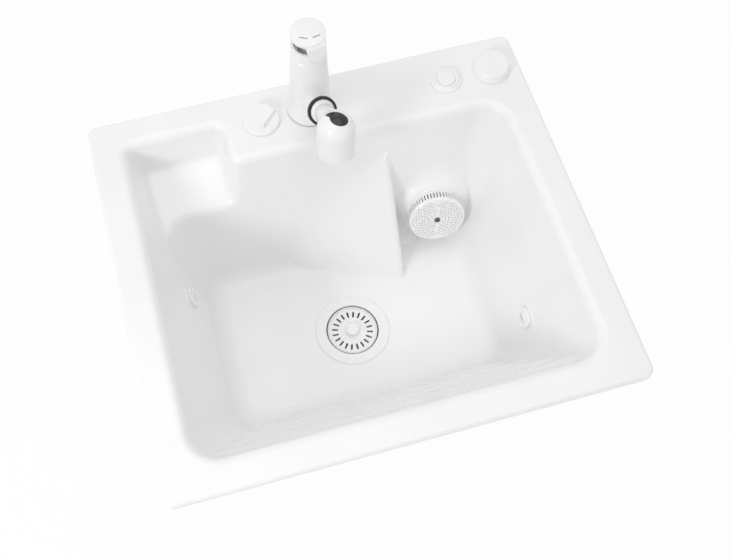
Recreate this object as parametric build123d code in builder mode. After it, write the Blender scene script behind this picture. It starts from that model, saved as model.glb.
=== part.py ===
from build123d import *
from math import atan2, cos, hypot, pi, radians, sin
import os

# A drop-in utility laundry sink with a washboard front, a soap shelf, a pull-out spray tap
# and a washing pump that draws from a grille in the bowl and returns through two jets.
# Millimetres. X runs to the right, Y to the back (the tap side), Z up.
# The origin is the middle of the rim's footprint, on the worktop, under the rim.

# ---- Rim and bowl -------------------------------------------------------------------
rim_width = 635
rim_depth = 559
rim_thickness = 13
rim_corner_radius = 14
rim_edge_radius = 4.5
side_land = 45.5
front_land = 42.5
deck_land = 109.5
bowl_depth = 230
wall = 7
side_run = 68
front_run = 95
back_run = 65
bowl_corner_radius = 42
floor_radius = 30
mouth_radius = 13
seal_inset = 9
seal_width = 6
seal_depth = 2.5

# ---- Soap shelf, wedge and washboard ------------------------------------------------
shelf_width = 189.5
shelf_land = 43.5
shelf_back_drop = 58
shelf_front_drop = 73
shelf_cutter_drop = 90
shelf_reach = 100
shelf_right_slope = 0.17
shelf_corner_radius = 14
shelf_floor_radius = 10
shelf_lip_radius = 14
wedge_gap = 65.5
wedge_start = 41
wedge_reach = 249.5
wedge_top_drop = 43
wedge_edge_radius = 8
wedge_foot_radius = 6
rib_count = 4
rib_first_drop = 38
rib_pitch = 56
rib_width = 40
rib_height = 5
rib_root = 2

# ---- Fits ---------------------------------------------------------------------------
thread_clearance = 0.1
running_clearance = 0.05
seat_gap = 0.3
hole_clearance = 0.5

# ---- Drain --------------------------------------------------------------------------
drain_x = -6
drain_y = -30
drain_flange_radius = 57.5
drain_flange_thickness = 2
cup_radius = 43
cup_wall = 2.5
cup_depth = 47
seat_depth = 32
seat_radius = 29
spigot_radius = 22
spigot_bore = 18
spigot_length = 22
gasket_thickness = 3
locknut_radius = 54
locknut_height = 12
lug_count = 6
tail_radius = 18.5
tail_bore = 16.5
tail_length = 66
tail_nut_radius = 28
basket_radius = 38.5
basket_skirt_radius = 35
basket_wall = 2
basket_plate = 2.5
basket_drop = 3
lip_height = 4
slot_count = 20
slot_inner = 22
slot_outer = 32
slot_width = 3.2
window_count = 12
window_width = 8
stem_radius = 3
stem_length = 26
basket_knob_radius = 10
basket_knob_height = 9
plug_radius = 33
plug_thickness = 3
gland_radius = 7

# ---- Deck controls ------------------------------------------------------------------
shank_radius = 16
deck_nut_radius = 24
deck_nut_height = 8
flange_step = 2
waste_knob_x = -73
waste_knob_inset = 53.5
waste_knob_radius = 26.75
waste_disc_height = 6
waste_grip_height = 7
waste_housing_width = 34
waste_housing_height = 18
button_side_inset = 114.5
button_inset = 56.5
bezel_radius = 23
bezel_height = 6
button_radius = 13.8
button_travel = 4
button_height = 7.5
plunger_radius = 11
plunger_length = 24
button_shank_length = 44
air_cap_side_inset = 43.5
air_cap_inset = 54.5
air_cap_radius = 25
air_cap_base_radius = 28
air_cap_height = 12
air_shank_length = 34
spindle_radius = 8
barb_radius = 3.2
barb_bore = 1.6
barb_length = 14

# ---- Tap ----------------------------------------------------------------------------
tap_inset = 49.5
tap_base_radius = 30.5
tap_top_radius = 24.5
tap_height = 127
tap_gasket_radius = 33
tap_gasket_thickness = 1
tap_flange_height = 1.5
tap_shank_radius = 14
tap_shank_bore = 10.5
tap_shank_length = 40
tap_shank_entry = 9
hose_channel_top = 37
chamber_radius = 19
chamber_depth = 42
tail_pipe_radius = 3
tail_pipe_wall = 1
tail_pipe_offset = 6
tail_pipe_entry = 18
tail_pipe_drop = 41
connector_radius = 8
connector_height = 14
connector_thread_radius = 4.75
connector_thread_length = 10
connector_stagger = 18
branch_height = 21
branch_elevation = 36
branch_turn = 6
branch_radius = 19.5
branch_length = 58.5
branch_bore = 11.6
ring_radius = 20.5
ring_inner_radius = 16.9
ring_length = 5
spigot_start = 14
spray_shoulder_radius = 16.6
spray_neck_radius = 13.5
spray_bore = 7
bell_centre = (10, 129, 98)
bell_foot = (8, 120, 58)
bell_radius = 26
bell_wall = 3.5
face_thickness = 3
nozzle_radius = 1.2
spray_button_depth = 5
spray_button_travel = 2
spray_button_proud = 0.8
collar_height = 18
collar_wall = 4.3
collar_lip = 8
lever_turn = 12
pivot_height = 11
turret_radius = 9
lever_pin_radius = 2
lever_block = 9.8
lever_fork_gap = 10
lever_hub_radius = 13
lever_cap_radius = 23.5
lever_cap_gap = 16
lever_cap_height = 5
lever_cap_crown = 2.5
tongue_width = 26
mark_length = 11
mark_width = 1.3
mark_depth = 1

# ---- Suction fitting ----------------------------------------------------------------
suction_side_inset = 152
suction_back_inset = 173.5
suction_height = 61.1
suction_rise = 17
suction_turn = 8
pad_radius = 50.5
pad_taper = 52
suction_flange_radius = 48.5
suction_flange_thickness = 3
suction_shank_radius = 23.5
suction_shank_bore = 18
suction_shank_length = 45
suction_nut_radius = 34
suction_nut_height = 12
grille_radius = 43.5
grille_height = 18
grille_wall = 2.5
grille_slots = 56
grille_slot_width = 2
grille_slot_height = 11
grille_hole_radius = 1.2
grille_focus = 23
grille_ring_pitch = 5.2
grille_hole_pitch = 4.4
grille_ring_count = 7
grille_hole_limit = 39.5
grille_hole_start = 8
screw_head_radius = 4.5
screw_radius = 2

# ---- Jets ---------------------------------------------------------------------------
left_jet_y = 45
left_jet_height = 97
right_jet_y = -112
right_jet_height = 89
jet_flange_radius = 18.5
jet_flange_thickness = 2.5
jet_barrel_radius = 14
jet_bore = 11.2
jet_barrel_length = 22
jet_ring_radius = 15.8
jet_ring_height = 3.2
jet_skirt_length = 12
eyeball_radius = 9
eyeball_front = 7
eyeball_back = 6.5
jet_slot_length = 9.5
jet_slot_width = 3.2
jet_gasket_thickness = 2
jet_chamber_radius = 22
jet_chamber_length = 31
port_radius = 14.5
port_reach = 42

# ---- Pump and pipes -----------------------------------------------------------------
pipe_radius = 11
pipe_bore = 9
pipe_bend = 30
socket_depth = 14
suction_pipe_radius = 24
suction_pipe_bore = 20
suction_bend = 30
suction_reach = 90
motor_radius = 46
motor_left = -70
motor_right = 50
cowl_length = 25
cowl_wall = 3
volute_length = 34
volute_wall = 4
eye_radius = 22
eye_bore = 18
eye_length = 20
outlet_radius = 13
outlet_bore = 10
outlet_offset = 32
tee_rise = 70
tee_arm = 34
tee_drop = 26
tee_leg_bore = 8.5
shaft_radius = 4
impeller_radius = 34
impeller_thickness = 12
fan_radius = 36
fan_thickness = 8
fan_blades = 9
bracket_left = -150
bracket_right = 165
bracket_front_inset = 243.5
bracket_back_inset = 43.5
bracket_thickness = 3
boss_radius = 8
boss_height = 12
boss_x = 140
boss_front_inset = 233.5
boss_back_inset = 199.5
bolt_radius = 2.5
bolt_head_radius = 4.5
bolt_head_height = 3
bolt_length = 12
foot_width = 20
foot_reach = 40
terminal_width = 50
terminal_depth = 30
terminal_height = 16
mains_hex_length = 6
mains_neck_length = 5
mains_spigot_length = 4
mains_bore = 2.2

# ---- Derived places -----------------------------------------------------------------
mouth_right = rim_width / 2 - side_land
mouth_front = -rim_depth / 2 + front_land
mouth_back = rim_depth / 2 - deck_land
shelf_back = rim_depth / 2 - shelf_land
floor_level = rim_thickness - bowl_depth
underside = floor_level - wall
side_slope = side_run / bowl_depth
back_slope = back_run / bowl_depth
front_slope = front_run / bowl_depth
seal_outer_width = rim_width - 2 * seal_inset
seal_outer_depth = rim_depth - 2 * seal_inset
seal_inner_width = seal_outer_width - 2 * seal_width
seal_inner_depth = seal_outer_depth - 2 * seal_width
back_edge = rim_depth / 2
tap_y = back_edge - tap_inset
waste_knob_y = back_edge - waste_knob_inset
button_x = rim_width / 2 - button_side_inset
button_y = back_edge - button_inset
air_cap_x = rim_width / 2 - air_cap_side_inset
air_cap_y = back_edge - air_cap_inset
suction_x = rim_width / 2 - suction_side_inset
suction_y = back_edge - suction_back_inset
suction_z = floor_level + suction_height
left_jet_z = floor_level + left_jet_height
right_jet_z = floor_level + right_jet_height
shelf_right = -rim_width / 2 + shelf_width
wedge_left = shelf_right + wedge_start
wedge_right = suction_x - wedge_gap
wedge_front = back_edge - wedge_reach
boss_front_y = back_edge - boss_front_inset
boss_back_y = back_edge - boss_back_inset
bracket_front = back_edge - bracket_front_inset
bracket_back = back_edge - bracket_back_inset

os.makedirs("parts", exist_ok=True)


def back_wall_y(z):
    """Where the bowl's back wall stands at height z."""
    return mouth_back - back_slope * (rim_thickness - z)


def side_wall_x(z):
    """Where the bowl's right wall stands at height z; the left one mirrors it."""
    return mouth_right - side_slope * (rim_thickness - z)


def upright(place):
    """The plane in which a round piece's profile is drawn: radius along X, height along Y."""
    return Plane(origin=place.origin, x_dir=place.x_dir, z_dir=-place.y_dir)


def spin(place):
    """The axis of a round piece that stands on the given plane."""
    return Axis(place.origin, place.z_dir)


# ---- The bowl's forms: the same shapes serve the inside and, grown by the wall, the outside
def tapered_block(top, bottom):
    """A block with flat sloping sides between two level rectangles."""
    with BuildPart() as block:
        for x0, x1, y0, y1, z in (top, bottom):
            with BuildSketch(Plane.XY.offset(z)):
                with Locations(((x0 + x1) / 2, (y0 + y1) / 2)):
                    Rectangle(x1 - x0, y1 - y0)
        loft(ruled=True)
    return block


def level_step(grow, slope):
    """How far a sloping wall moves on the level when it grows square to itself."""
    return grow * hypot(1, slope)


def bowl_form(grow):
    """The main bowl as a solid, with its corners and floor rounded."""
    side = level_step(grow, side_slope)
    front = level_step(grow, front_slope)
    back = level_step(grow, back_slope)
    drop = bowl_depth + grow
    top = (-mouth_right - side, mouth_right + side, mouth_front - front, mouth_back + back, rim_thickness)
    bottom = (
        -mouth_right - side + side_slope * drop,
        mouth_right + side - side_slope * drop,
        mouth_front - front + front_slope * drop,
        mouth_back + back - back_slope * drop,
        rim_thickness - drop,
    )
    block = tapered_block(top, bottom)
    with BuildPart() as form:
        add(block.part)
        corners = [edge for edge in form.edges() if edge.bounding_box().size.Z > bowl_depth / 2]
        fillet(corners, bowl_corner_radius + grow)
        fillet(form.edges().group_by(Axis.Z)[0], floor_radius + grow)
    return form


def shelf_form(grow):
    """The soap shelf's pocket: its floor slopes towards the bowl."""
    drop = shelf_cutter_drop
    reach = mouth_back - shelf_reach
    side = level_step(grow, side_slope)
    top = (-mouth_right - side, shelf_right + grow, reach, shelf_back + grow, rim_thickness)
    bottom = (
        -mouth_right - side + side_slope * drop,
        shelf_right + grow - shelf_right_slope * drop,
        reach,
        shelf_back + grow - shelf_right_slope * drop,
        rim_thickness - drop,
    )
    block = tapered_block(top, bottom)
    shelf_floor = Plane(
        origin=(0, shelf_back, rim_thickness - shelf_back_drop - grow),
        x_dir=(1, 0, 0),
        z_dir=(0, shelf_back_drop - shelf_front_drop, shelf_back - mouth_back),
    )
    with BuildPart() as form:
        add(block.part)
        split(bisect_by=shelf_floor, keep=Keep.TOP)
        behind = [edge for edge in form.edges() if edge.center().Y > mouth_back]
        uprights = [edge for edge in behind if edge.bounding_box().size.Z > shelf_back_drop / 2]
        fillet(uprights, shelf_corner_radius + grow)
        low_level = rim_thickness - shelf_back_drop * 0.75
        inner = [edge for edge in form.edges() if edge.center().Y > reach + 1]
        fillet([edge for edge in inner if edge.center().Z < low_level], shelf_floor_radius + grow)
    return form


wedge_top = rim_thickness - wedge_top_drop
wedge_peak = Vector(wedge_right, back_wall_y(wedge_top), wedge_top)
wedge_heel = Vector(wedge_left, back_wall_y(floor_level), floor_level)
wedge_toe = Vector(wedge_right, wedge_front, floor_level)
facet_normal = (wedge_heel - wedge_peak).cross(wedge_toe - wedge_peak).normalized()
wedge_spare = 60


def wedge_form(inset):
    """The wedge on the back wall: one sloping facet, one upright side, open behind and below."""
    facet = Plane(
        origin=wedge_peak - facet_normal * inset,
        x_dir=(wedge_toe - wedge_peak).normalized(),
        z_dir=facet_normal,
    )
    with BuildPart() as form:
        with BuildSketch(Plane.XY.offset(floor_level - wedge_spare)):
            with Locations((wedge_right - inset, 0)):
                Rectangle(rim_width, rim_depth, align=(Align.MAX, Align.CENTER))
        extrude(amount=bowl_depth + wedge_spare)
        split(bisect_by=facet, keep=Keep.BOTTOM)
    return form


bowl_inside = bowl_form(0)
bowl_outside = bowl_form(wall)
shelf_inside = shelf_form(0)
shelf_outside = shelf_form(wall)
wedge_solid = wedge_form(0)
wedge_hollow = wedge_form(wall)

wedge_side_middle = (wedge_peak + wedge_toe) * 0.5

with BuildPart() as cavity:
    add(bowl_inside.part)
    add(wedge_solid.part, mode=Mode.SUBTRACT)
    fillet(cavity.edges().sort_by_distance(wedge_side_middle)[0], wedge_edge_radius)
    wedge_foot = Vector(wedge_right, wedge_front + bowl_corner_radius / 2, floor_level)
    fillet(cavity.edges().sort_by_distance(wedge_foot)[0], wedge_foot_radius)
    add(shelf_inside.part)
    lip_drop = shelf_back_drop * 0.7
    lip_z = rim_thickness - lip_drop
    shelf_lip = Vector(shelf_right - shelf_right_slope * lip_drop, back_wall_y(lip_z), lip_z)
    fillet(cavity.edges().sort_by_distance(shelf_lip)[0], shelf_lip_radius)


# ---- Places of the fittings ---------------------------------------------------------
drain = Plane(origin=(drain_x, drain_y, floor_level), x_dir=(1, 0, 0), z_dir=(0, 0, 1))
waste_place = Plane(origin=(waste_knob_x, waste_knob_y, rim_thickness))
button_place = Plane(origin=(button_x, button_y, rim_thickness))
air_place = Plane(origin=(air_cap_x, air_cap_y, rim_thickness))
tap_place = Plane(origin=(0, tap_y, rim_thickness))
suction_normal = Vector(
    -cos(radians(suction_rise)) * sin(radians(suction_turn)),
    -cos(radians(suction_rise)) * cos(radians(suction_turn)),
    sin(radians(suction_rise)),
)
suction = Plane(
    origin=(suction_x, suction_y, suction_z),
    x_dir=(cos(radians(suction_turn)), -sin(radians(suction_turn)), 0),
    z_dir=suction_normal,
)
jet_tilt = atan2(side_run, bowl_depth)
left_jet = Plane(
    origin=(-side_wall_x(left_jet_z), left_jet_y, left_jet_z),
    x_dir=(0, 1, 0),
    z_dir=(cos(jet_tilt), 0, sin(jet_tilt)),
)
right_jet = Plane(
    origin=(side_wall_x(right_jet_z), right_jet_y, right_jet_z),
    x_dir=(0, 1, 0),
    z_dir=(-cos(jet_tilt), 0, sin(jet_tilt)),
)
deck_hole_radius = shank_radius + hole_clearance
tap_hole_radius = tap_shank_radius + 3 * hole_clearance
boss_places = [(x, y) for x in (-boss_x, boss_x) for y in (boss_front_y, boss_back_y)]
boss_foot = underside - boss_height

# ---- Sink bowl ----------------------------------------------------------------------
with BuildPart() as washboard:
    for index in range(rib_count):
        drop = rib_first_drop + index * rib_pitch
        lean = atan2(front_run, bowl_depth)
        crest = Vector(0, mouth_front + front_slope * drop, rim_thickness - drop)
        along = Vector(0, sin(lean), -cos(lean))
        out = Vector(0, cos(lean), sin(lean))
        rib_plane = Plane(origin=crest - Vector(mouth_right, 0, 0), x_dir=along, z_dir=(-1, 0, 0))
        if rib_plane.y_dir.dot(out) < 0:
            rib_plane = Plane(origin=rib_plane.origin, x_dir=along, z_dir=(1, 0, 0))
        with BuildSketch(rib_plane):
            with BuildLine():
                ThreePointArc((-rib_width / 2, 0), (0, rib_height), (rib_width / 2, 0))
                Polyline(
                    (rib_width / 2, 0),
                    (rib_width / 2, -rib_root),
                    (-rib_width / 2, -rib_root),
                    (-rib_width / 2, 0),
                )
            make_face()
        extrude(amount=2 * mouth_right * rib_plane.z_dir.X)
    add(bowl_outside.part, mode=Mode.INTERSECT)

with BuildPart() as suction_pad:
    with BuildSketch(suction):
        Circle(pad_radius)
    extrude(amount=-pad_radius, taper=-pad_taper)
    add(bowl_outside.part, mode=Mode.INTERSECT)

with BuildPart() as sink_bowl:
    add(bowl_outside.part)
    add(wedge_hollow.part, mode=Mode.SUBTRACT)
    with BuildSketch(Plane.XY):
        RectangleRounded(rim_width, rim_depth, rim_corner_radius)
    extrude(amount=rim_thickness)
    fillet(sink_bowl.edges().group_by(Axis.Z)[-1], rim_edge_radius)
    add(shelf_outside.part)
    add(cavity.part, mode=Mode.SUBTRACT)
    level = [edge for edge in sink_bowl.edges() if abs(edge.center().Z - rim_thickness) < 0.01]
    level = [edge for edge in level if edge.bounding_box().size.Z < 0.01]
    level = [edge for edge in level if abs(edge.center().X) < mouth_right + 1]
    fillet([edge for edge in level if abs(edge.center().Y) < shelf_back + 1], mouth_radius)
    add(washboard.part)
    add(suction_pad.part)
    # The pad is as thin as the wall: a round hollow behind it takes the fitting's nut.
    with BuildSketch(suction.offset(-wall)):
        Circle(pad_radius - wall)
    extrude(amount=-2 * pad_radius, mode=Mode.SUBTRACT)
    with BuildSketch(suction):
        Circle(suction_shank_radius + hole_clearance)
    extrude(amount=-2 * wall, mode=Mode.SUBTRACT)
    # Bosses under the floor carry the pump bracket.
    with BuildSketch(Plane.XY.offset(boss_foot)):
        with Locations(*boss_places):
            Circle(boss_radius)
    extrude(amount=boss_height + wall / 2)
    with BuildSketch(Plane.XY.offset(boss_foot)):
        with Locations(*boss_places):
            Circle(bolt_radius)
    extrude(amount=boss_height - 2, mode=Mode.SUBTRACT)
    with BuildSketch(drain.offset(-2 * wall)):
        Circle(cup_radius + hole_clearance)
    extrude(amount=3 * wall, mode=Mode.SUBTRACT)
    for place in (left_jet, right_jet):
        with BuildSketch(place.offset(-2 * wall)):
            Circle(jet_barrel_radius + hole_clearance)
        extrude(amount=3 * wall, mode=Mode.SUBTRACT)
    with BuildSketch(Plane.XY):
        with Locations((waste_knob_x, waste_knob_y), (button_x, button_y), (air_cap_x, air_cap_y)):
            Circle(deck_hole_radius)
        with Locations((0, tap_y)):
            Circle(tap_hole_radius)
    extrude(amount=rim_thickness, mode=Mode.SUBTRACT)
    with BuildSketch(Plane.XY):
        RectangleRounded(seal_outer_width, seal_outer_depth, rim_corner_radius - seal_inset / 2)
        RectangleRounded(seal_inner_width, seal_inner_depth, rim_corner_radius - seal_inset, mode=Mode.SUBTRACT)
    extrude(amount=seal_depth, mode=Mode.SUBTRACT)
sink_bowl.part.label = "sink_bowl"
export_step(sink_bowl.part, "parts/sink_bowl.step")

# ---- Seal strip in the groove under the rim -----------------------------------------
with BuildPart() as rim_seal:
    with BuildSketch(Plane.XY):
        RectangleRounded(seal_outer_width, seal_outer_depth, rim_corner_radius - seal_inset / 2)
        RectangleRounded(seal_inner_width, seal_inner_depth, rim_corner_radius - seal_inset, mode=Mode.SUBTRACT)
    extrude(amount=seal_depth)
rim_seal.part.label = "rim_seal"
export_step(rim_seal.part, "parts/rim_seal.step")

# ---- Drain: flange and cup, gasket, locknut, tail -----------------------------------
cup_bore = cup_radius - cup_wall
cup_foot = -cup_depth
seat_level = -seat_depth
with BuildPart() as drain_flange:
    with BuildSketch(upright(drain)):
        with BuildLine():
            Polyline(
                (cup_bore, drain_flange_thickness),
                (drain_flange_radius - 1.5, drain_flange_thickness),
                (drain_flange_radius, 0),
                (cup_radius, 0),
                (cup_radius, cup_foot),
                (spigot_radius, cup_foot),
                (spigot_radius, cup_foot - spigot_length),
                (spigot_bore, cup_foot - spigot_length),
                (spigot_bore, cup_foot + cup_wall),
                (cup_bore - cup_wall, cup_foot + cup_wall),
                (cup_bore - cup_wall, seat_level - cup_wall),
                (seat_radius, seat_level - cup_wall),
                (seat_radius, seat_level),
                (cup_bore, seat_level),
                close=True,
            )
        make_face()
    revolve(axis=spin(drain))
    # Three arms in the outlet hold the guide in which the plug's stem slides.
    guide_level = cup_foot + cup_wall
    with BuildSketch(drain.offset(guide_level)):
        Circle(stem_radius + cup_wall)
        with PolarLocations((spigot_bore + stem_radius) / 2, 3):
            Rectangle(spigot_bore, cup_wall)
    extrude(amount=-3 * cup_wall)
    with BuildSketch(drain.offset(guide_level)):
        Circle(stem_radius + running_clearance)
    extrude(amount=-3 * cup_wall, mode=Mode.SUBTRACT)
    # The side boss for the lift cable's gland.
    gland_level = (seat_level + cup_foot) / 2 - cup_wall / 2
    gland_place = Plane(
        origin=(drain_x - cup_radius - gland_radius, drain_y, floor_level + gland_level),
        x_dir=(0, 1, 0),
        z_dir=(-1, 0, 0),
    )
    with BuildSketch(gland_place):
        Circle(gland_radius - 1)
    extrude(amount=-gland_radius - cup_wall)
    with BuildSketch(gland_place):
        Circle(barb_bore)
    extrude(amount=-gland_radius - 3 * cup_wall, mode=Mode.SUBTRACT)
drain_flange.part.label = "drain_flange"
export_step(drain_flange.part, "parts/drain_flange.step")

with BuildPart() as drain_gasket:
    with BuildSketch(drain.offset(-wall)):
        Circle(locknut_radius)
        Circle(cup_radius + thread_clearance, mode=Mode.SUBTRACT)
    extrude(amount=-gasket_thickness)
drain_gasket.part.label = "drain_gasket"
export_step(drain_gasket.part, "parts/drain_gasket.step")

with BuildPart() as drain_locknut:
    with BuildSketch(drain.offset(-wall - gasket_thickness)):
        Circle(locknut_radius)
        with PolarLocations(locknut_radius, lug_count):
            Rectangle(10, 9)
        Circle(cup_radius + thread_clearance, mode=Mode.SUBTRACT)
    extrude(amount=-locknut_height)
drain_locknut.part.label = "drain_locknut"
export_step(drain_locknut.part, "parts/drain_locknut.step")

with BuildPart() as lift_cable_gland:
    with BuildSketch(gland_place):
        RegularPolygon(gland_radius, 6)
    extrude(amount=gland_radius)
    with BuildSketch(gland_place):
        Circle(barb_radius)
    extrude(amount=gland_radius + barb_length)
    with BuildSketch(gland_place):
        Circle(barb_bore)
    extrude(amount=gland_radius + barb_length, mode=Mode.SUBTRACT)
lift_cable_gland.part.label = "lift_cable_gland"
export_step(lift_cable_gland.part, "parts/lift_cable_gland.step")

spigot_foot = cup_foot - spigot_length
tail_flange = 3
with BuildPart() as drain_tail:
    with BuildSketch(upright(drain)):
        with BuildLine():
            Polyline(
                (tail_bore, spigot_foot),
                (spigot_radius - 0.5, spigot_foot),
                (spigot_radius - 0.5, spigot_foot - tail_flange),
                (tail_radius, spigot_foot - tail_flange),
                (tail_radius, spigot_foot - tail_length),
                (tail_bore, spigot_foot - tail_length),
                close=True,
            )
        make_face()
    revolve(axis=spin(drain))
drain_tail.part.label = "drain_tail"
export_step(drain_tail.part, "parts/drain_tail.step")

with BuildPart() as tail_nut:
    nut_head = spigot_foot + spigot_length - 4
    nut_foot = spigot_foot - 2 * tail_flange
    with BuildSketch(drain.offset(nut_foot)):
        RegularPolygon(tail_nut_radius, 8)
    extrude(amount=nut_head - nut_foot)
    with BuildSketch(drain.offset(spigot_foot - tail_flange)):
        Circle(spigot_radius + thread_clearance)
    extrude(amount=spigot_length, mode=Mode.SUBTRACT)
    with BuildSketch(drain.offset(nut_foot)):
        Circle(tail_radius + thread_clearance)
    extrude(amount=tail_flange, mode=Mode.SUBTRACT)
tail_nut.part.label = "tail_nut"
export_step(tail_nut.part, "parts/tail_nut.step")

# ---- Strainer basket, its knob and its plug seal: they lift together ----------------
plug_level = seat_level + seat_gap
basket_foot = plug_level + plug_thickness
plate_level = -basket_drop
with BuildPart() as strainer_basket:
    with BuildSketch(upright(drain)):
        with BuildLine():
            Polyline(
                (0, plate_level),
                (basket_radius - basket_wall, plate_level),
                (basket_radius - basket_wall, plate_level + lip_height - 1),
                (basket_radius - basket_wall / 2, plate_level + lip_height),
                (basket_radius, plate_level + lip_height - 1),
                (basket_radius, plate_level - basket_plate),
                (basket_skirt_radius, plate_level - basket_plate),
                (basket_skirt_radius, basket_foot),
                (0, basket_foot),
                (0, basket_foot + basket_wall),
                (basket_skirt_radius - basket_wall, basket_foot + basket_wall),
                (basket_skirt_radius - basket_wall, plate_level - basket_plate),
                (0, plate_level - basket_plate),
                close=True,
            )
        make_face()
    revolve(axis=spin(drain))
    with BuildSketch(drain.offset(basket_foot)):
        Circle(2 * stem_radius)
    extrude(amount=plate_level - basket_plate - basket_foot)
    # Radial slots in the plate and windows in the skirt let the water through.
    with BuildSketch(drain.offset(plate_level)):
        with PolarLocations((slot_inner + slot_outer) / 2, slot_count):
            SlotOverall(slot_outer - slot_inner, slot_width)
    extrude(amount=-basket_plate, mode=Mode.SUBTRACT)
    skirt_height = plate_level - basket_plate - basket_foot
    with BuildSketch(drain.offset(basket_foot + 2 * basket_wall)):
        with PolarLocations(basket_skirt_radius, window_count):
            Rectangle(4 * basket_wall, window_width)
    extrude(amount=skirt_height - 4 * basket_wall, mode=Mode.SUBTRACT)
    # The stem runs down through the seal into the guide of the cup.
    with BuildSketch(drain.offset(basket_foot)):
        Circle(stem_radius)
    extrude(amount=-stem_length)
strainer_basket.part.label = "strainer_basket"
export_step(strainer_basket.part, "parts/strainer_basket.step")

with BuildPart() as strainer_knob:
    with BuildSketch(upright(drain.offset(plate_level))):
        with BuildLine():
            Polyline(
                (0, 0),
                (basket_knob_radius * 0.75, 0),
                (basket_knob_radius * 0.65, basket_knob_height * 0.45),
                (basket_knob_radius, basket_knob_height * 0.6),
                (basket_knob_radius, basket_knob_height * 0.85),
                (basket_knob_radius * 0.85, basket_knob_height),
                (0, basket_knob_height),
                close=True,
            )
        make_face()
    revolve(axis=spin(drain))
strainer_knob.part.label = "strainer_knob"
export_step(strainer_knob.part, "parts/strainer_knob.step")

with BuildPart() as plug_seal:
    with BuildSketch(drain.offset(plug_level)):
        Circle(plug_radius)
        Circle(stem_radius + thread_clearance, mode=Mode.SUBTRACT)
    extrude(amount=plug_thickness)
plug_seal.part.label = "plug_seal"
export_step(plug_seal.part, "parts/plug_seal.step")

# ---- Three equal nuts under the deck ------------------------------------------------
with BuildPart() as deck_nuts:
    with BuildSketch(Plane.XY):
        with Locations((waste_knob_x, waste_knob_y), (button_x, button_y), (air_cap_x, air_cap_y)):
            RegularPolygon(deck_nut_radius, 6)
            Circle(shank_radius + thread_clearance, mode=Mode.SUBTRACT)
    extrude(amount=-deck_nut_height)
deck_nuts.part.label = "deck_nuts"
export_step(deck_nuts.part, "parts/deck_nuts.step")

# ---- Waste control: a knob that turns, and the cable housing under the deck ---------
deck_to_nut = rim_thickness + deck_nut_height
with BuildPart() as waste_control_body:
    with BuildSketch(waste_place):
        Circle(waste_knob_radius - 4)
    extrude(amount=flange_step)
    with BuildSketch(waste_place):
        Circle(shank_radius)
    extrude(amount=-deck_to_nut - 4)
    with BuildSketch(waste_place.offset(-deck_to_nut - 4)):
        RectangleRounded(waste_housing_width, waste_housing_width, 5)
    extrude(amount=-waste_housing_height)
    with BuildSketch(waste_place.offset(flange_step)):
        Circle(spindle_radius)
    extrude(amount=-deck_to_nut - flange_step - 4 - waste_housing_height / 2, mode=Mode.SUBTRACT)
    # Cable outlet on the housing's left side.
    cable_level = -deck_to_nut - 4 - waste_housing_height / 2
    cable_place = Plane(
        origin=(waste_knob_x, waste_knob_y, rim_thickness + cable_level), x_dir=(0, 1, 0), z_dir=(-1, 0, 0)
    )
    with BuildSketch(cable_place.offset(waste_housing_width / 2)):
        Circle(barb_radius)
    extrude(amount=barb_length)
    with BuildSketch(cable_place.offset(spindle_radius)):
        Circle(barb_bore)
    extrude(amount=waste_housing_width, mode=Mode.SUBTRACT)
waste_control_body.part.label = "waste_control_body"
export_step(waste_control_body.part, "parts/waste_control_body.step")

with BuildPart() as waste_knob:
    with BuildSketch(upright(waste_place)):
        with BuildLine():
            Polyline(
                (0, flange_step + seat_gap),
                (waste_knob_radius - 3.5, flange_step + seat_gap),
                (waste_knob_radius - 3.5, seat_gap),
                (waste_knob_radius, seat_gap),
                (waste_knob_radius, waste_disc_height - 2),
                (waste_knob_radius - 2.5, waste_disc_height),
                (0, waste_disc_height),
                close=True,
            )
        make_face()
    revolve(axis=spin(waste_place))
    # The grip is a raised wedge: blunt point to the front, two arms to the back.
    reach = waste_knob_radius - 2.5
    with BuildSketch(waste_place.offset(waste_disc_height)):
        with BuildLine():
            Polyline(
                (-reach * 0.25, -reach * 0.72),
                (reach * 0.02, -reach * 0.72),
                (reach * 0.95, reach * 0.22),
                (reach * 0.6, reach * 0.74),
                (0, reach * 0.94),
                (-reach * 0.6, reach * 0.74),
                (-reach * 0.9, reach * 0.2),
                close=True,
            )
        make_face()
    extrude(amount=waste_grip_height, taper=12)
    with BuildSketch(waste_place.offset(flange_step + seat_gap)):
        Circle(spindle_radius - running_clearance)
    extrude(amount=-deck_to_nut - flange_step)
waste_knob.part.label = "waste_knob"
export_step(waste_knob.part, "parts/waste_knob.step")

# ---- Air switch button --------------------------------------------------------------
with BuildPart() as air_button_housing:
    button_well = button_travel + 2 * flange_step
    with BuildSketch(upright(button_place)):
        with BuildLine():
            Polyline(
                (button_radius + 2 * running_clearance, flange_step),
                (bezel_radius - 3, flange_step),
                (bezel_radius - 3, 0),
                (shank_radius, 0),
                (shank_radius, -button_shank_length),
                (barb_radius, -button_shank_length),
                (barb_radius, -button_shank_length - barb_length),
                (barb_bore, -button_shank_length - barb_length),
                (barb_bore, -button_shank_length + 3),
                (plunger_radius + running_clearance, -button_shank_length + 3),
                (plunger_radius + running_clearance, -button_well),
                (button_radius + 2 * running_clearance, -button_well),
                close=True,
            )
        make_face()
    revolve(axis=spin(button_place))
air_button_housing.part.label = "air_button_housing"
export_step(air_button_housing.part, "parts/air_button_housing.step")

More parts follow.
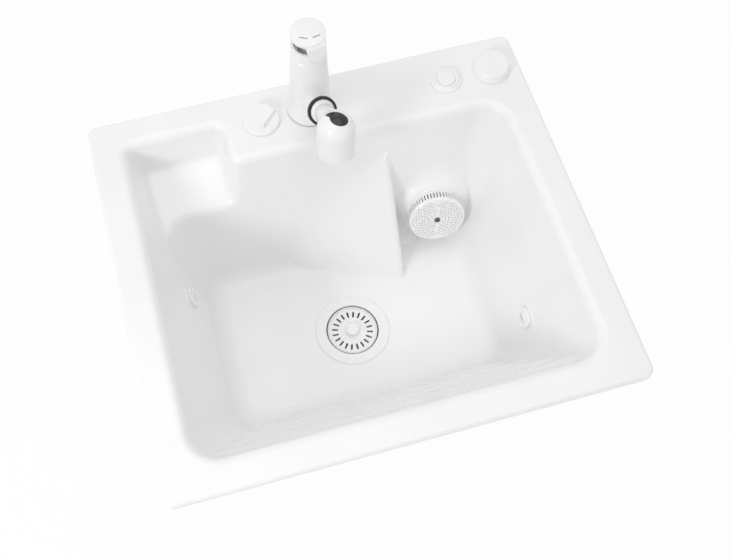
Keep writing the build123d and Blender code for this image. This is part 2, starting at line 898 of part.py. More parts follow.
with BuildPart() as air_button_bezel:
    with BuildSketch(upright(button_place)):
        with BuildLine():
            Polyline(
                (button_radius + 2 * running_clearance, flange_step),
                (bezel_radius - 3 + thread_clearance, flange_step),
                (bezel_radius - 3 + thread_clearance, 0),
                (bezel_radius, 0),
                (bezel_radius, bezel_height - 3.5),
                (bezel_radius - 3.5, bezel_height - 2),
                (bezel_radius - 5, bezel_height),
                (button_radius + 1.5, bezel_height),
                (button_radius + 2 * running_clearance, bezel_height - 1),
                close=True,
            )
        make_face()
    revolve(axis=spin(button_place))
air_button_bezel.part.label = "air_button_bezel"
export_step(air_button_bezel.part, "parts/air_button_bezel.step")

with BuildPart() as air_button:
    with BuildSketch(upright(button_place)):
        with BuildLine():
            Polyline(
                (0, -plunger_length),
                (plunger_radius, -plunger_length),
                (plunger_radius, -button_well + button_travel + seat_gap),
                (button_radius, -button_well + button_travel + seat_gap),
                (button_radius, button_height - 1),
                (button_radius - 1, button_height - 0.3),
                (0, button_height),
                close=True,
            )
        make_face()
    revolve(axis=spin(button_place))
air_button.part.label = "air_button"
export_step(air_button.part, "parts/air_button.step")

# ---- Air control: a cap that turns on a hollow body ---------------------------------
with BuildPart() as air_control_body:
    with BuildSketch(upright(air_place)):
        with BuildLine():
            Polyline(
                (spindle_radius, flange_step),
                (air_cap_radius - 2, flange_step),
                (air_cap_radius - 2, 0),
                (shank_radius, 0),
                (shank_radius, -air_shank_length),
                (barb_radius, -air_shank_length),
                (barb_radius, -air_shank_length - barb_length),
                (barb_bore, -air_shank_length - barb_length),
                (barb_bore, -air_shank_length + 3),
                (spindle_radius, -air_shank_length + 3),
                close=True,
            )
        make_face()
    revolve(axis=spin(air_place))
air_control_body.part.label = "air_control_body"
export_step(air_control_body.part, "parts/air_control_body.step")

with BuildPart() as air_control_cap:
    with BuildSketch(upright(air_place)):
        with BuildLine():
            Polyline(
                (0, flange_step + seat_gap),
                (air_cap_radius - 1.5, flange_step + seat_gap),
                (air_cap_radius - 1.5, seat_gap),
                (air_cap_base_radius, seat_gap),
                (air_cap_base_radius, 2),
                (air_cap_radius, air_cap_height - 1.5),
                (air_cap_radius - 1.5, air_cap_height),
                (0, air_cap_height),
                close=True,
            )
        make_face()
    revolve(axis=spin(air_place))
    with BuildSketch(air_place.offset(flange_step + seat_gap)):
        Circle(spindle_radius - running_clearance)
    extrude(amount=-air_shank_length / 2)
air_control_cap.part.label = "air_control_cap"
export_step(air_control_cap.part, "parts/air_control_cap.step")

# ---- Tap: gasket, body, shank, washer, nut, tail pipes ------------------------------
body_foot = tap_gasket_thickness
body_top = tap_height
with BuildPart() as tap_base_gasket:
    with BuildSketch(tap_place):
        Circle(tap_gasket_radius)
        Circle(tap_hole_radius, mode=Mode.SUBTRACT)
    extrude(amount=tap_gasket_thickness)
tap_base_gasket.part.label = "tap_base_gasket"
export_step(tap_base_gasket.part, "parts/tap_base_gasket.step")

branch = Plane(
    origin=(0, tap_y, rim_thickness + branch_height),
    x_dir=(cos(radians(branch_turn)), sin(radians(branch_turn)), 0),
    z_dir=(
        cos(radians(branch_elevation)) * sin(radians(branch_turn)),
        -cos(radians(branch_elevation)) * cos(radians(branch_turn)),
        sin(radians(branch_elevation)),
    ),
)
pipe_spots = [(-tail_pipe_offset, tail_pipe_offset * 0.67), (tail_pipe_offset, tail_pipe_offset * 0.67)]
with BuildPart() as tap_body:
    with BuildSketch(upright(tap_place)):
        with BuildLine():
            Polyline(
                (0, body_foot),
                (tap_base_radius, body_foot),
                (tap_top_radius, body_top - 1),
                (tap_top_radius - 0.8, body_top),
                (0, body_top),
                close=True,
            )
        make_face()
    revolve(axis=spin(tap_place))
    with BuildSketch(tap_place.offset(body_foot)):
        Circle(tap_gasket_radius)
    extrude(amount=tap_flange_height)
    with BuildSketch(branch):
        Circle(branch_radius)
    extrude(amount=branch_length)
    with BuildSketch(branch):
        Circle(branch_bore)
    extrude(amount=branch_length, mode=Mode.SUBTRACT)
    with BuildSketch(tap_place.offset(body_top)):
        Circle(chamber_radius)
    extrude(amount=-chamber_depth, mode=Mode.SUBTRACT)
    with BuildSketch(tap_place.offset(body_foot)):
        Circle(tap_shank_radius + thread_clearance)
    extrude(amount=tap_shank_entry, mode=Mode.SUBTRACT)
    with BuildSketch(tap_place.offset(body_foot)):
        Circle(tap_shank_bore)
    extrude(amount=hose_channel_top - body_foot, mode=Mode.SUBTRACT)
    with BuildSketch(tap_place.offset(hose_channel_top)):
        with Locations(*pipe_spots):
            Circle(tail_pipe_radius + running_clearance)
    extrude(amount=tail_pipe_entry, mode=Mode.SUBTRACT)
    # Two channels carry the water on to the cartridge.
    with BuildSketch(tap_place.offset(hose_channel_top)):
        with Locations(*pipe_spots):
            Circle(tail_pipe_radius - 1)
    extrude(amount=body_top - chamber_depth - hose_channel_top, mode=Mode.SUBTRACT)
tap_body.part.label = "tap_body"
export_step(tap_body.part, "parts/tap_body.step")

with BuildPart() as tap_shank:
    with BuildSketch(tap_place.offset(body_foot + tap_shank_entry)):
        Circle(tap_shank_radius)
        Circle(tap_shank_bore, mode=Mode.SUBTRACT)
    extrude(amount=-body_foot - tap_shank_entry - rim_thickness - tap_shank_length)
tap_shank.part.label = "tap_shank"
export_step(tap_shank.part, "parts/tap_shank.step")

with BuildPart() as tap_washer:
    with BuildSketch(Plane.XY):
        with Locations((0, tap_y)):
            Circle(tap_gasket_radius - 5)
            Circle(tap_shank_radius + thread_clearance, mode=Mode.SUBTRACT)
    extrude(amount=-gasket_thickness)
tap_washer.part.label = "tap_washer"
export_step(tap_washer.part, "parts/tap_washer.step")

with BuildPart() as tap_nut:
    with BuildSketch(Plane.XY.offset(-gasket_thickness)):
        with Locations((0, tap_y)):
            RegularPolygon(tap_shank_radius + 8, 6)
            Circle(tap_shank_radius + thread_clearance, mode=Mode.SUBTRACT)
    extrude(amount=-10)
tap_nut.part.label = "tap_nut"
export_step(tap_nut.part, "parts/tap_nut.step")

# The hot and the cold tail pipe, each with a threaded connector brazed to its lower end.
pipe_top = hose_channel_top + tail_pipe_entry
with BuildPart() as tap_tail_pipes:
    for index, spot in enumerate(pipe_spots):
        pipe_foot = -rim_thickness - tail_pipe_drop - index * connector_stagger
        with BuildSketch(tap_place.offset(pipe_foot)):
            with Locations(spot):
                Circle(tail_pipe_radius)
        extrude(amount=pipe_top - pipe_foot)
        with BuildSketch(tap_place.offset(pipe_foot)):
            with Locations(spot):
                RegularPolygon(connector_radius, 6, rotation=30)
        extrude(amount=-connector_height)
        with BuildSketch(tap_place.offset(pipe_foot - connector_height)):
            with Locations(spot):
                Circle(tail_pipe_radius - tail_pipe_wall)
        extrude(amount=pipe_top - pipe_foot + connector_height, mode=Mode.SUBTRACT)
        with BuildSketch(tap_place.offset(pipe_foot - connector_height)):
            with Locations(spot):
                Circle(connector_thread_radius)
        extrude(amount=connector_thread_length, mode=Mode.SUBTRACT)
tap_tail_pipes.part.label = "tap_tail_pipes"
export_step(tap_tail_pipes.part, "parts/tap_tail_pipes.step")

# ---- Cartridge, collar, turning spindle with its pin --------------------------------
chamber_foot = body_top - chamber_depth
pivot = body_top + pivot_height
lever_place = Plane(
    origin=(0, tap_y, rim_thickness + pivot),
    x_dir=(cos(radians(lever_turn)), sin(radians(lever_turn)), 0),
    z_dir=(0, 0, 1),
)
turret_foot = chamber_foot + chamber_depth / 3
with BuildPart() as cartridge_body:
    with BuildSketch(upright(tap_place)):
        with BuildLine():
            Polyline(
                (0, chamber_foot),
                (chamber_radius - thread_clearance, chamber_foot),
                (chamber_radius - thread_clearance, body_top - collar_lip),
                (turret_radius, body_top - collar_lip),
                (turret_radius, turret_foot),
                (0, turret_foot),
                close=True,
            )
        make_face()
    revolve(axis=spin(tap_place))
cartridge_body.part.label = "cartridge_body"
export_step(cartridge_body.part, "parts/cartridge_body.step")

collar_top = body_top + collar_height
with BuildPart() as cartridge_collar:
    with BuildSketch(upright(tap_place)):
        with BuildLine():
            Polyline(
                (chamber_radius - collar_wall, body_top - collar_lip),
                (chamber_radius - thread_clearance, body_top - collar_lip),
                (chamber_radius - thread_clearance, body_top),
                (tap_top_radius - 0.8, body_top),
                (tap_top_radius - 0.2, body_top + 1),
                (lever_cap_radius, collar_top - 1),
                (lever_cap_radius - 1, collar_top),
                (lever_cap_radius - collar_wall + 0.8, collar_top),
                (lever_cap_radius - collar_wall + 0.8, body_top + 3),
                (chamber_radius - collar_wall, body_top + 1),
                close=True,
            )
        make_face()
    revolve(axis=spin(tap_place))
cartridge_collar.part.label = "cartridge_collar"
export_step(cartridge_collar.part, "parts/cartridge_collar.step")

fork_depth = lever_pin_radius + 3
fork_rise = lever_pin_radius + 2.5
with BuildPart() as cartridge_spindle:
    with BuildSketch(tap_place.offset(turret_foot + seat_gap)):
        Circle(turret_radius - running_clearance)
    extrude(amount=pivot + fork_rise - turret_foot - seat_gap)
    with BuildSketch(lever_place.offset(-fork_depth)):
        Rectangle(lever_fork_gap, 2 * turret_radius)
    extrude(amount=fork_depth + fork_rise, mode=Mode.SUBTRACT)
    with BuildSketch(Plane(origin=lever_place.origin, x_dir=lever_place.y_dir, z_dir=lever_place.x_dir)):
        Circle(lever_pin_radius)
    extrude(amount=turret_radius, both=True, mode=Mode.SUBTRACT)
cartridge_spindle.part.label = "cartridge_spindle"
export_step(cartridge_spindle.part, "parts/cartridge_spindle.step")

with BuildPart() as lever_pin:
    with BuildSketch(Plane(origin=lever_place.origin, x_dir=lever_place.y_dir, z_dir=lever_place.x_dir)):
        Circle(lever_pin_radius)
    extrude(amount=turret_radius - 1, both=True)
lever_pin.part.label = "lever_pin"
export_step(lever_pin.part, "parts/lever_pin.step")

# ---- Lever: block in the fork, hub, domed cap, tongue; two marks on its top ---------
hub_foot = collar_height - pivot_height + 2
cap_foot = collar_height - pivot_height + lever_cap_gap
cap_edge = cap_foot + lever_cap_height
cap_top = cap_edge + lever_cap_crown
mark_spots = ((-8.3, -9.3, -26), (8.5, -10.8, 14))
mark_plane = Plane(origin=(0, tap_y, rim_thickness + pivot + cap_top - mark_depth))
with BuildPart() as mark_prisms:
    for x, y, angle in mark_spots:
        with BuildSketch(mark_plane.offset(-lever_cap_crown)):
            with Locations(Location((x, y, 0), (0, 0, angle))):
                SlotOverall(mark_length, mark_width)
        extrude(amount=lever_cap_crown + 2 * mark_depth)

crown_radius = (lever_cap_radius**2 + lever_cap_crown**2) / (2 * lever_cap_crown)
crown_half = atan2(lever_cap_radius, crown_radius - lever_cap_crown) / 2
with BuildPart() as lever_cap:
    with BuildSketch(upright(lever_place)):
        with BuildLine():
            Polyline(
                (0, cap_top),
                (0, hub_foot),
                (lever_hub_radius, hub_foot),
                (lever_hub_radius, cap_foot),
                (lever_cap_radius, cap_foot),
                (lever_cap_radius, cap_edge),
            )
            ThreePointArc(
                (lever_cap_radius, cap_edge),
                (crown_radius * sin(crown_half), cap_top - crown_radius * (1 - cos(crown_half))),
                (0, cap_top),
            )
        make_face()
    revolve(axis=spin(lever_place))

# The tongue hangs at the front of the cap; its profile is drawn across the lever's side.
lever_side = Plane(origin=lever_place.origin, x_dir=-lever_place.y_dir, z_dir=-lever_place.x_dir)
tongue_drop = lever_cap_gap + 4
tip_inner = (lever_cap_radius + 3.5, cap_foot - tongue_drop + 1)
tip_outer = (lever_cap_radius + 7.5, cap_foot - tongue_drop)
with BuildPart() as tongue:
    with BuildSketch(lever_side):
        with BuildLine():
            Polyline(
                (lever_hub_radius - 1, cap_foot + 1),
                (lever_hub_radius + 2, cap_foot - 1),
                (lever_cap_radius - 2, cap_foot - 2.5),
                tip_inner,
                tip_outer,
                (lever_cap_radius + 2.5, cap_foot),
                (lever_cap_radius - 2.5, cap_edge - 0.8),
                (lever_hub_radius - 1, cap_edge - 0.8),
                close=True,
            )
        make_face()
    extrude(amount=tongue_width / 2, both=True)
    # Seen from the front, the tongue ends in a round tip.
    tip_level = tip_outer[1]
    with BuildSketch(Plane(origin=lever_place.origin, x_dir=lever_place.x_dir, z_dir=-lever_place.y_dir)):
        with Locations((0, tip_level + tongue_width * 0.65)):
            Rectangle(tongue_width, cap_top - tip_level, align=(Align.CENTER, Align.MIN))
        with Locations((0, tip_level + tongue_width * 0.65)):
            Ellipse(tongue_width / 2, tongue_width * 0.65)
    extrude(amount=2 * lever_cap_radius, mode=Mode.INTERSECT)

with BuildPart() as lever_handle:
    add(lever_cap.part)
    add(tongue.part)
    # The block between the fork's ears, rounded about the pin.
    with BuildSketch(lever_side):
        Circle(lever_pin_radius + 2.5)
        with Locations((0, hub_foot / 2)):
            Rectangle(2 * (lever_pin_radius + 2.5), hub_foot)
    extrude(amount=lever_block / 2, both=True)
    with BuildSketch(lever_side):
        Circle(lever_pin_radius + running_clearance)
    extrude(amount=lever_block, both=True, mode=Mode.SUBTRACT)
    add(mark_prisms.part, mode=Mode.SUBTRACT)
lever_handle.part.label = "lever_handle"
export_step(lever_handle.part, "parts/lever_handle.step")

with BuildPart() as lever_marks:
    add(mark_prisms.part)
    add(lever_cap.part, mode=Mode.INTERSECT)
lever_marks.part.label = "lever_marks"
export_step(lever_marks.part, "parts/lever_marks.step")

# ---- Docking ring and pull-out spray ------------------------------------------------
with BuildPart() as docking_ring:
    with BuildSketch(branch.offset(branch_length)):
        Circle(ring_radius)
        Circle(ring_inner_radius, mode=Mode.SUBTRACT)
    extrude(amount=ring_length)
docking_ring.part.label = "docking_ring"
export_step(docking_ring.part, "parts/docking_ring.step")

bell_axis = Vector(*bell_centre) - Vector(*bell_foot)
bell_straight = bell_axis.length
bell = Plane(origin=bell_foot, x_dir=(1, 0, -bell_axis.X / bell_axis.Z), z_dir=bell_axis)
neck_end = (Vector(*bell_centre) - branch.origin).dot(branch.z_dir)
shoulder_foot = branch_length + seat_gap
button_outline = (
    (-12.6, 11.6), (-6, 12.2), (1.5, 9.8), (9, 4.4), (12.8, -2.8),
    (9.5, -9.5), (0, -11.4), (-7.2, -7), (-9.8, 0), (-10.2, 5.5),
)
button_plane = Plane(origin=(bell_centre[0] + 2, bell_centre[1], bell_centre[2]))


def button_form(extra, foot_round, crown_round):
    """The comma-shaped button, or its well: the outline grown by extra, between two spheres."""
    outline = [Vector(x, y) * (1 + extra / hypot(x, y)) for x, y in button_outline]
    with BuildPart() as form:
        with BuildSketch(button_plane):
            with BuildLine():
                Spline(*outline, periodic=True)
            make_face()
        extrude(amount=crown_round + 1)
        with Locations(bell_centre):
            Sphere(foot_round, mode=Mode.SUBTRACT)
            Sphere(crown_round, mode=Mode.INTERSECT)
    return form


button_root = bell_radius - spray_button_depth
well_root = button_root - spray_button_travel - seat_gap
button_well = button_form(seat_gap, well_root, bell_radius + 2)

with BuildPart() as spray_body:
    with BuildSketch(upright(branch)):
        with BuildLine():
            Polyline(
                (0, spigot_start),
                (branch_bore - running_clearance, spigot_start),
                (branch_bore - running_clearance, shoulder_foot),
                (spray_shoulder_radius, shoulder_foot),
                (spray_shoulder_radius, shoulder_foot + ring_length),
                (spray_neck_radius, shoulder_foot + 2 * ring_length),
                (spray_neck_radius, neck_end),
                (0, neck_end),
                close=True,
            )
        make_face()
    revolve(axis=spin(branch))
    with BuildSketch(upright(bell)):
        with BuildLine():
            Polyline((0, bell_straight + bell_radius), (0, 0), (bell_radius - 1, 0), (bell_radius, 1.5))
            Line((bell_radius, 1.5), (bell_radius, bell_straight))
            ThreePointArc(
                (bell_radius, bell_straight),
                (bell_radius * sin(radians(45)), bell_straight + bell_radius * cos(radians(45))),
                (0, bell_straight + bell_radius),
            )
        make_face()
    revolve(axis=spin(bell))
    with BuildSketch(bell):
        Circle(bell_radius - bell_wall)
    extrude(amount=bell_straight + bell_wall, mode=Mode.SUBTRACT)
    with BuildSketch(branch.offset(spigot_start)):
        Circle(spray_bore)
    extrude(amount=neck_end - spigot_start, mode=Mode.SUBTRACT)
    add(button_well.part, mode=Mode.SUBTRACT)
spray_body.part.label = "spray_body"
export_step(spray_body.part, "parts/spray_body.step")

spray_button = button_form(0, button_root, bell_radius + spray_button_proud)
spray_button.part.label = "spray_button"
export_step(spray_button.part, "parts/spray_button.step")

with BuildPart() as spray_face:
    with BuildSketch(bell.offset(1)):
        Circle(bell_radius - bell_wall)
        for ring, count in ((6, 6), (12, 12), (18, 18)):
            with PolarLocations(ring, count):
                Circle(nozzle_radius, mode=Mode.SUBTRACT)
    extrude(amount=face_thickness)
spray_face.part.label = "spray_face"
export_step(spray_face.part, "parts/spray_face.step")

# ---- Suction fitting in the back wall -----------------------------------------------
with BuildPart() as suction_body:
    with BuildSketch(upright(suction)):
        with BuildLine():
            Polyline(
                (suction_shank_bore, suction_flange_thickness),
                (suction_flange_radius - 1.5, suction_flange_thickness),
                (suction_flange_radius, 0),
                (suction_shank_radius, 0),
                (suction_shank_radius, -suction_shank_length),
                (suction_shank_bore, -suction_shank_length),
                close=True,
            )
        make_face()
    revolve(axis=spin(suction))
    with BuildSketch(suction.offset(suction_flange_thickness)):
        Circle(2 * screw_head_radius / 1.5)
        with PolarLocations(suction_shank_bore / 2 + screw_radius, 3):
            Rectangle(suction_shank_bore, grille_wall)
    extrude(amount=-3 * suction_flange_thickness)
    with BuildSketch(suction.offset(suction_flange_thickness)):
        Circle(screw_radius)
    extrude(amount=-3 * suction_flange_thickness, mode=Mode.SUBTRACT)
suction_body.part.label = "suction_body"
export_step(suction_body.part, "parts/suction_body.step")

with BuildPart() as suction_gasket:
    with BuildSketch(suction.offset(-wall)):
        Circle(suction_nut_radius + 2)
        Circle(suction_shank_radius + thread_clearance, mode=Mode.SUBTRACT)
    extrude(amount=-gasket_thickness)
suction_gasket.part.label = "suction_gasket"
export_step(suction_gasket.part, "parts/suction_gasket.step")

with BuildPart() as suction_nut:
    with BuildSketch(suction.offset(-wall - gasket_thickness)):
        RegularPolygon(suction_nut_radius, 8)
        Circle(suction_shank_radius + thread_clearance, mode=Mode.SUBTRACT)
    extrude(amount=-suction_nut_height)
suction_nut.part.label = "suction_nut"
export_step(suction_nut.part, "parts/suction_nut.step")

grille_foot = suction_flange_thickness
grille_face = grille_foot + grille_height


def grille_holes():
    """Where the face's holes stand: rings about two points, left and right of the screw."""
    spots = []
    for side in (-1, 1):
        for ring in range(grille_ring_count + 1):
            reach = ring * grille_ring_pitch
            count = max(1, round(2 * pi * reach / grille_hole_pitch))
            for index in range(count):
                x = side * grille_focus + reach * cos(2 * pi * index / count)
                y = reach * sin(2 * pi * index / count)
                inside = grille_hole_start < hypot(x, y) < grille_hole_limit
                if inside and side * x > grille_hole_pitch / 2:
                    spots.append((x, y))
    return spots


with BuildPart() as suction_grille:
    with BuildSketch(upright(suction)):
        with BuildLine():
            Polyline(
                (grille_radius - grille_wall, grille_foot),
                (grille_radius, grille_foot),
                (grille_radius, grille_face - 1.5),
                (grille_radius - 1.5, grille_face),
                (0, grille_face),
                (0, grille_face - grille_wall),
                (grille_radius - grille_wall, grille_face - grille_wall),
                close=True,
            )
        make_face()
    revolve(axis=spin(suction))
    # Fine slots all round the side.
    with BuildSketch(suction.offset(grille_foot + 2)):
        with PolarLocations(grille_radius, grille_slots):
            Rectangle(4 * grille_wall, grille_slot_width)
    extrude(amount=grille_slot_height, mode=Mode.SUBTRACT)
    with BuildSketch(suction.offset(grille_face)):
        with Locations(*grille_holes()):
            Circle(grille_hole_radius)
        Circle(screw_radius)
    extrude(amount=-grille_wall, mode=Mode.SUBTRACT)
suction_grille.part.label = "suction_grille"
export_step(suction_grille.part, "parts/suction_grille.step")

with BuildPart() as suction_screw:
    with BuildSketch(suction.offset(grille_face)):
        Circle(screw_head_radius)
    extrude(amount=1.5)
    with BuildSketch(suction.offset(grille_face)):
        Circle(screw_radius)
    extrude(amount=-grille_height - 2 * suction_flange_thickness)
    with BuildSketch(suction.offset(grille_face + 1.5)):
        RegularPolygon(screw_radius, 6)
    extrude(amount=-1, mode=Mode.SUBTRACT)
suction_screw.part.label = "suction_screw"
export_step(suction_screw.part, "parts/suction_screw.step")


# ---- Jets: the same pieces stand on the left and on the right wall ------------------
def port_centre(place):
    """Where the water port leaves the chamber behind the wall."""
    return place.origin - place.z_dir * (wall + jet_gasket_thickness + jet_chamber_length * 0.6)


def jet_body(place):
    """The chamber behind the wall, with its water port to the back and its air barb on top."""
    start = -wall - jet_gasket_thickness
    centre = port_centre(place)
    port = Plane(origin=centre, x_dir=(1, 0, 0), z_dir=(0, 1, 0))
    with BuildPart() as body:
        with BuildSketch(place.offset(start)):
            Circle(jet_chamber_radius)
        extrude(amount=-jet_chamber_length)
        with BuildSketch(place.offset(start)):
            Circle(jet_chamber_radius + 4)
        extrude(amount=-4)
        with BuildSketch(port):
            Circle(port_radius)
        extrude(amount=port_reach)
        with BuildSketch(Plane(origin=centre, z_dir=(0, 0, 1))):
            Circle(barb_radius)
        extrude(amount=jet_chamber_radius + barb_length)
        with BuildSketch(place.offset(start)):
            Circle(jet_barrel_radius + thread_clearance)
        extrude(amount=-jet_chamber_length + 4, mode=Mode.SUBTRACT)
        with BuildSketch(port):
            Circle(pipe_bore)
        extrude(amount=port_reach, mode=Mode.SUBTRACT)
        with BuildSketch(port.offset(port_reach)):
            Circle(pipe_radius + thread_clearance)
        extrude(amount=-socket_depth, mode=Mode.SUBTRACT)
        with BuildSketch(Plane(origin=centre, z_dir=(0, 0, 1))):
            Circle(barb_bore)
        extrude(amount=jet_chamber_radius + barb_length, mode=Mode.SUBTRACT)
    return body


# Two equal flanges inside the bowl, each with its threaded barrel through the wall.
with BuildPart() as jet_flanges:
    for place in (left_jet, right_jet):
        with BuildSketch(upright(place)):
            with BuildLine():
                Polyline(
                    (jet_bore, jet_flange_thickness),
                    (jet_flange_radius - 1, jet_flange_thickness),
                    (jet_flange_radius, 0),
                    (jet_barrel_radius, 0),
                    (jet_barrel_radius, -jet_barrel_length),
                    (jet_bore, -jet_barrel_length),
                    close=True,
                )
            make_face()
        revolve(axis=spin(place))
jet_flanges.part.label = "jet_flanges"
export_step(jet_flanges.part, "parts/jet_flanges.step")

seat_clear = eyeball_radius + seat_gap


def jet_ring(place):
    """The ring that turns in the barrel; the eyeball sits in its round seat."""
    ring_foot = jet_flange_thickness + seat_gap
    front = ring_foot + jet_ring_height
    with BuildPart() as ring:
        with BuildSketch(upright(place)):
            with BuildLine():
                Polyline(
                    (0, -jet_skirt_length),
                    (jet_bore - running_clearance, -jet_skirt_length),
                    (jet_bore - running_clearance, ring_foot),
                    (jet_ring_radius, ring_foot),
                    (jet_ring_radius, front - 1),
                    (jet_ring_radius - 1, front),
                    (0, front),
                    close=True,
                )
            make_face()
        revolve(axis=spin(place))
        with BuildSketch(upright(place)):
            with BuildLine():
                ThreePointArc((0, -seat_clear), (seat_clear, 0), (0, seat_clear))
                Line((0, seat_clear), (0, -seat_clear))
            make_face()
        revolve(axis=spin(place), mode=Mode.SUBTRACT)
        with BuildSketch(place.offset(-jet_skirt_length)):
            Circle(eyeball_radius * 0.8)
        extrude(amount=jet_skirt_length, mode=Mode.SUBTRACT)
    return ring


def jet_eyeball(place):
    """The ball with its slit: cut flat in front and behind."""
    with BuildPart() as ball:
        with BuildSketch(upright(place)):
            with BuildLine():
                ThreePointArc((0, -eyeball_radius), (eyeball_radius, 0), (0, eyeball_radius))
                Line((0, eyeball_radius), (0, -eyeball_radius))
            make_face()
        revolve(axis=spin(place))
        split(bisect_by=place.offset(eyeball_front), keep=Keep.BOTTOM)
        split(bisect_by=place.offset(-eyeball_back), keep=Keep.TOP)
        with BuildSketch(place.offset(eyeball_front)):
            SlotOverall(jet_slot_length, jet_slot_width)
        extrude(amount=-2 * eyeball_radius, mode=Mode.SUBTRACT)
    return ball


left_jet_body = jet_body(left_jet)
left_jet_body.part.label = "left_jet_body"
export_step(left_jet_body.part, "parts/left_jet_body.step")
right_jet_body = jet_body(right_jet)
right_jet_body.part.label = "right_jet_body"
export_step(right_jet_body.part, "parts/right_jet_body.step")
left_jet_ring = jet_ring(left_jet)
left_jet_ring.part.label = "left_jet_ring"
export_step(left_jet_ring.part, "parts/left_jet_ring.step")
right_jet_ring = jet_ring(right_jet)
right_jet_ring.part.label = "right_jet_ring"
export_step(right_jet_ring.part, "parts/right_jet_ring.step")
left_jet_eyeball = jet_eyeball(left_jet)
left_jet_eyeball.part.label = "left_jet_eyeball"
export_step(left_jet_eyeball.part, "parts/left_jet_eyeball.step")
right_jet_eyeball = jet_eyeball(right_jet)
right_jet_eyeball.part.label = "right_jet_eyeball"
export_step(right_jet_eyeball.part, "parts/right_jet_eyeball.step")

with BuildPart() as jet_gaskets:
    for place in (left_jet, right_jet):
        with BuildSketch(place.offset(-wall)):
            Circle(jet_chamber_radius + 4)
            Circle(jet_barrel_radius + thread_clearance, mode=Mode.SUBTRACT)
        extrude(amount=-jet_gasket_thickness)
jet_gaskets.part.label = "jet_gaskets"
export_step(jet_gaskets.part, "parts/jet_gaskets.step")

# ---- Pump: its axis runs along X through the end of the suction elbow's first leg ---
elbow_corner = suction.origin - suction.z_dir * suction_reach
pump_y = elbow_corner.Y
pump_z = elbow_corner.Z


def across(x):
    """The plane across the pump's axis at the given X, facing right."""
    return Plane(origin=(x, pump_y, pump_z), x_dir=(0, 1, 0), z_dir=(1, 0, 0))


volute_right = motor_right + volute_length
eye_face = volute_right + eye_length
plate_top = boss_foot
outlet_x = motor_right + volute_length / 2
outlet_y = pump_y + outlet_offset
left_port = port_centre(left_jet)
right_port = port_centre(right_jet)
tee_z = pump_z + tee_rise
foot_xs = (motor_left + foot_width, motor_right - foot_width * 1.25)
foot_ys = (pump_y - foot_reach * 0.8, pump_y + foot_reach * 0.8)
foot_bolts = [(x, y) for x in foot_xs for y in foot_ys]

with BuildPart() as pump_volute:
    with BuildSketch(across(motor_right)):
        Circle(motor_radius)
    extrude(amount=volute_length)
    with BuildSketch(across(volute_right)):
        Circle(eye_radius)
    extrude(amount=eye_length)
    with BuildSketch(Plane(origin=(outlet_x, outlet_y, pump_z))):
        Circle(outlet_radius)
    extrude(amount=tee_z - tee_drop + socket_depth - pump_z)
    with BuildSketch(across(motor_right + volute_wall)):
        Circle(impeller_radius + volute_wall)
    extrude(amount=volute_length - 2 * volute_wall, mode=Mode.SUBTRACT)
    with BuildSketch(across(volute_right - volute_wall)):
        Circle(eye_bore)
    extrude(amount=eye_length + volute_wall, mode=Mode.SUBTRACT)
    with BuildSketch(Plane(origin=(outlet_x, outlet_y, pump_z))):
        Circle(outlet_bore)
    extrude(amount=tee_z - tee_drop + socket_depth - pump_z, mode=Mode.SUBTRACT)
    with BuildSketch(across(motor_right)):
        Circle(shaft_radius + running_clearance)
    extrude(amount=volute_wall, mode=Mode.SUBTRACT)
pump_volute.part.label = "pump_volute"
export_step(pump_volute.part, "parts/pump_volute.step")

terminal_foot = pump_z + motor_radius + 1
with BuildPart() as pump_motor:
    with BuildSketch(across(motor_left)):
        Circle(motor_radius)
    extrude(amount=motor_right - motor_left)
    with BuildSketch(Plane.XY.offset(plate_top)):
        for x in foot_xs:
            with Locations((x, pump_y)):
                Rectangle(foot_width, 2 * foot_reach)
    extrude(amount=pump_z - plate_top)
    with BuildSketch(Plane.XY.offset(pump_z)):
        with Locations(((motor_left + motor_right) / 2, pump_y)):
            Rectangle(terminal_width, terminal_depth)
    extrude(amount=terminal_foot - pump_z)
    with BuildSketch(across(motor_left)):
        Circle(shaft_radius + running_clearance)
    extrude(amount=motor_right - motor_left, mode=Mode.SUBTRACT)
    with BuildSketch(Plane.XY.offset(plate_top)):
        with Locations(*foot_bolts):
            Circle(bolt_radius)
    extrude(amount=bolt_length - bracket_thickness, mode=Mode.SUBTRACT)
pump_motor.part.label = "pump_motor"
export_step(pump_motor.part, "parts/pump_motor.step")

with BuildPart() as terminal_box:
    with BuildSketch(Plane.XY.offset(terminal_foot)):
        with Locations(((motor_left + motor_right) / 2, pump_y)):
            RectangleRounded(terminal_width, terminal_depth, 3)
    extrude(amount=terminal_height)
    fillet(terminal_box.edges().group_by(Axis.Z)[-1], 2)
    gland_x = (motor_left + motor_right - terminal_width) / 2
    mains_place = Plane(
        origin=(gland_x, pump_y, terminal_foot + terminal_height / 2), x_dir=(0, 1, 0), z_dir=(-1, 0, 0)
    )
    with BuildSketch(mains_place):
        Circle(barb_radius)
    extrude(amount=-terminal_width / 2, mode=Mode.SUBTRACT)
terminal_box.part.label = "terminal_box"
export_step(terminal_box.part, "parts/terminal_box.step")

with BuildPart() as mains_gland:
    with BuildSketch(mains_place):
        RegularPolygon(gland_radius, 6)
    extrude(amount=mains_hex_length)
    with BuildSketch(mains_place.offset(mains_hex_length)):
        Circle(gland_radius - 2)
    extrude(amount=mains_neck_length)
    with BuildSketch(mains_place):
        Circle(barb_radius)
    extrude(amount=-mains_spigot_length)
    with BuildSketch(mains_place.offset(-mains_spigot_length)):
        Circle(mains_bore)
    extrude(amount=mains_spigot_length + mains_hex_length + mains_neck_length, mode=Mode.SUBTRACT)
mains_gland.part.label = "mains_gland"
export_step(mains_gland.part, "parts/mains_gland.step")

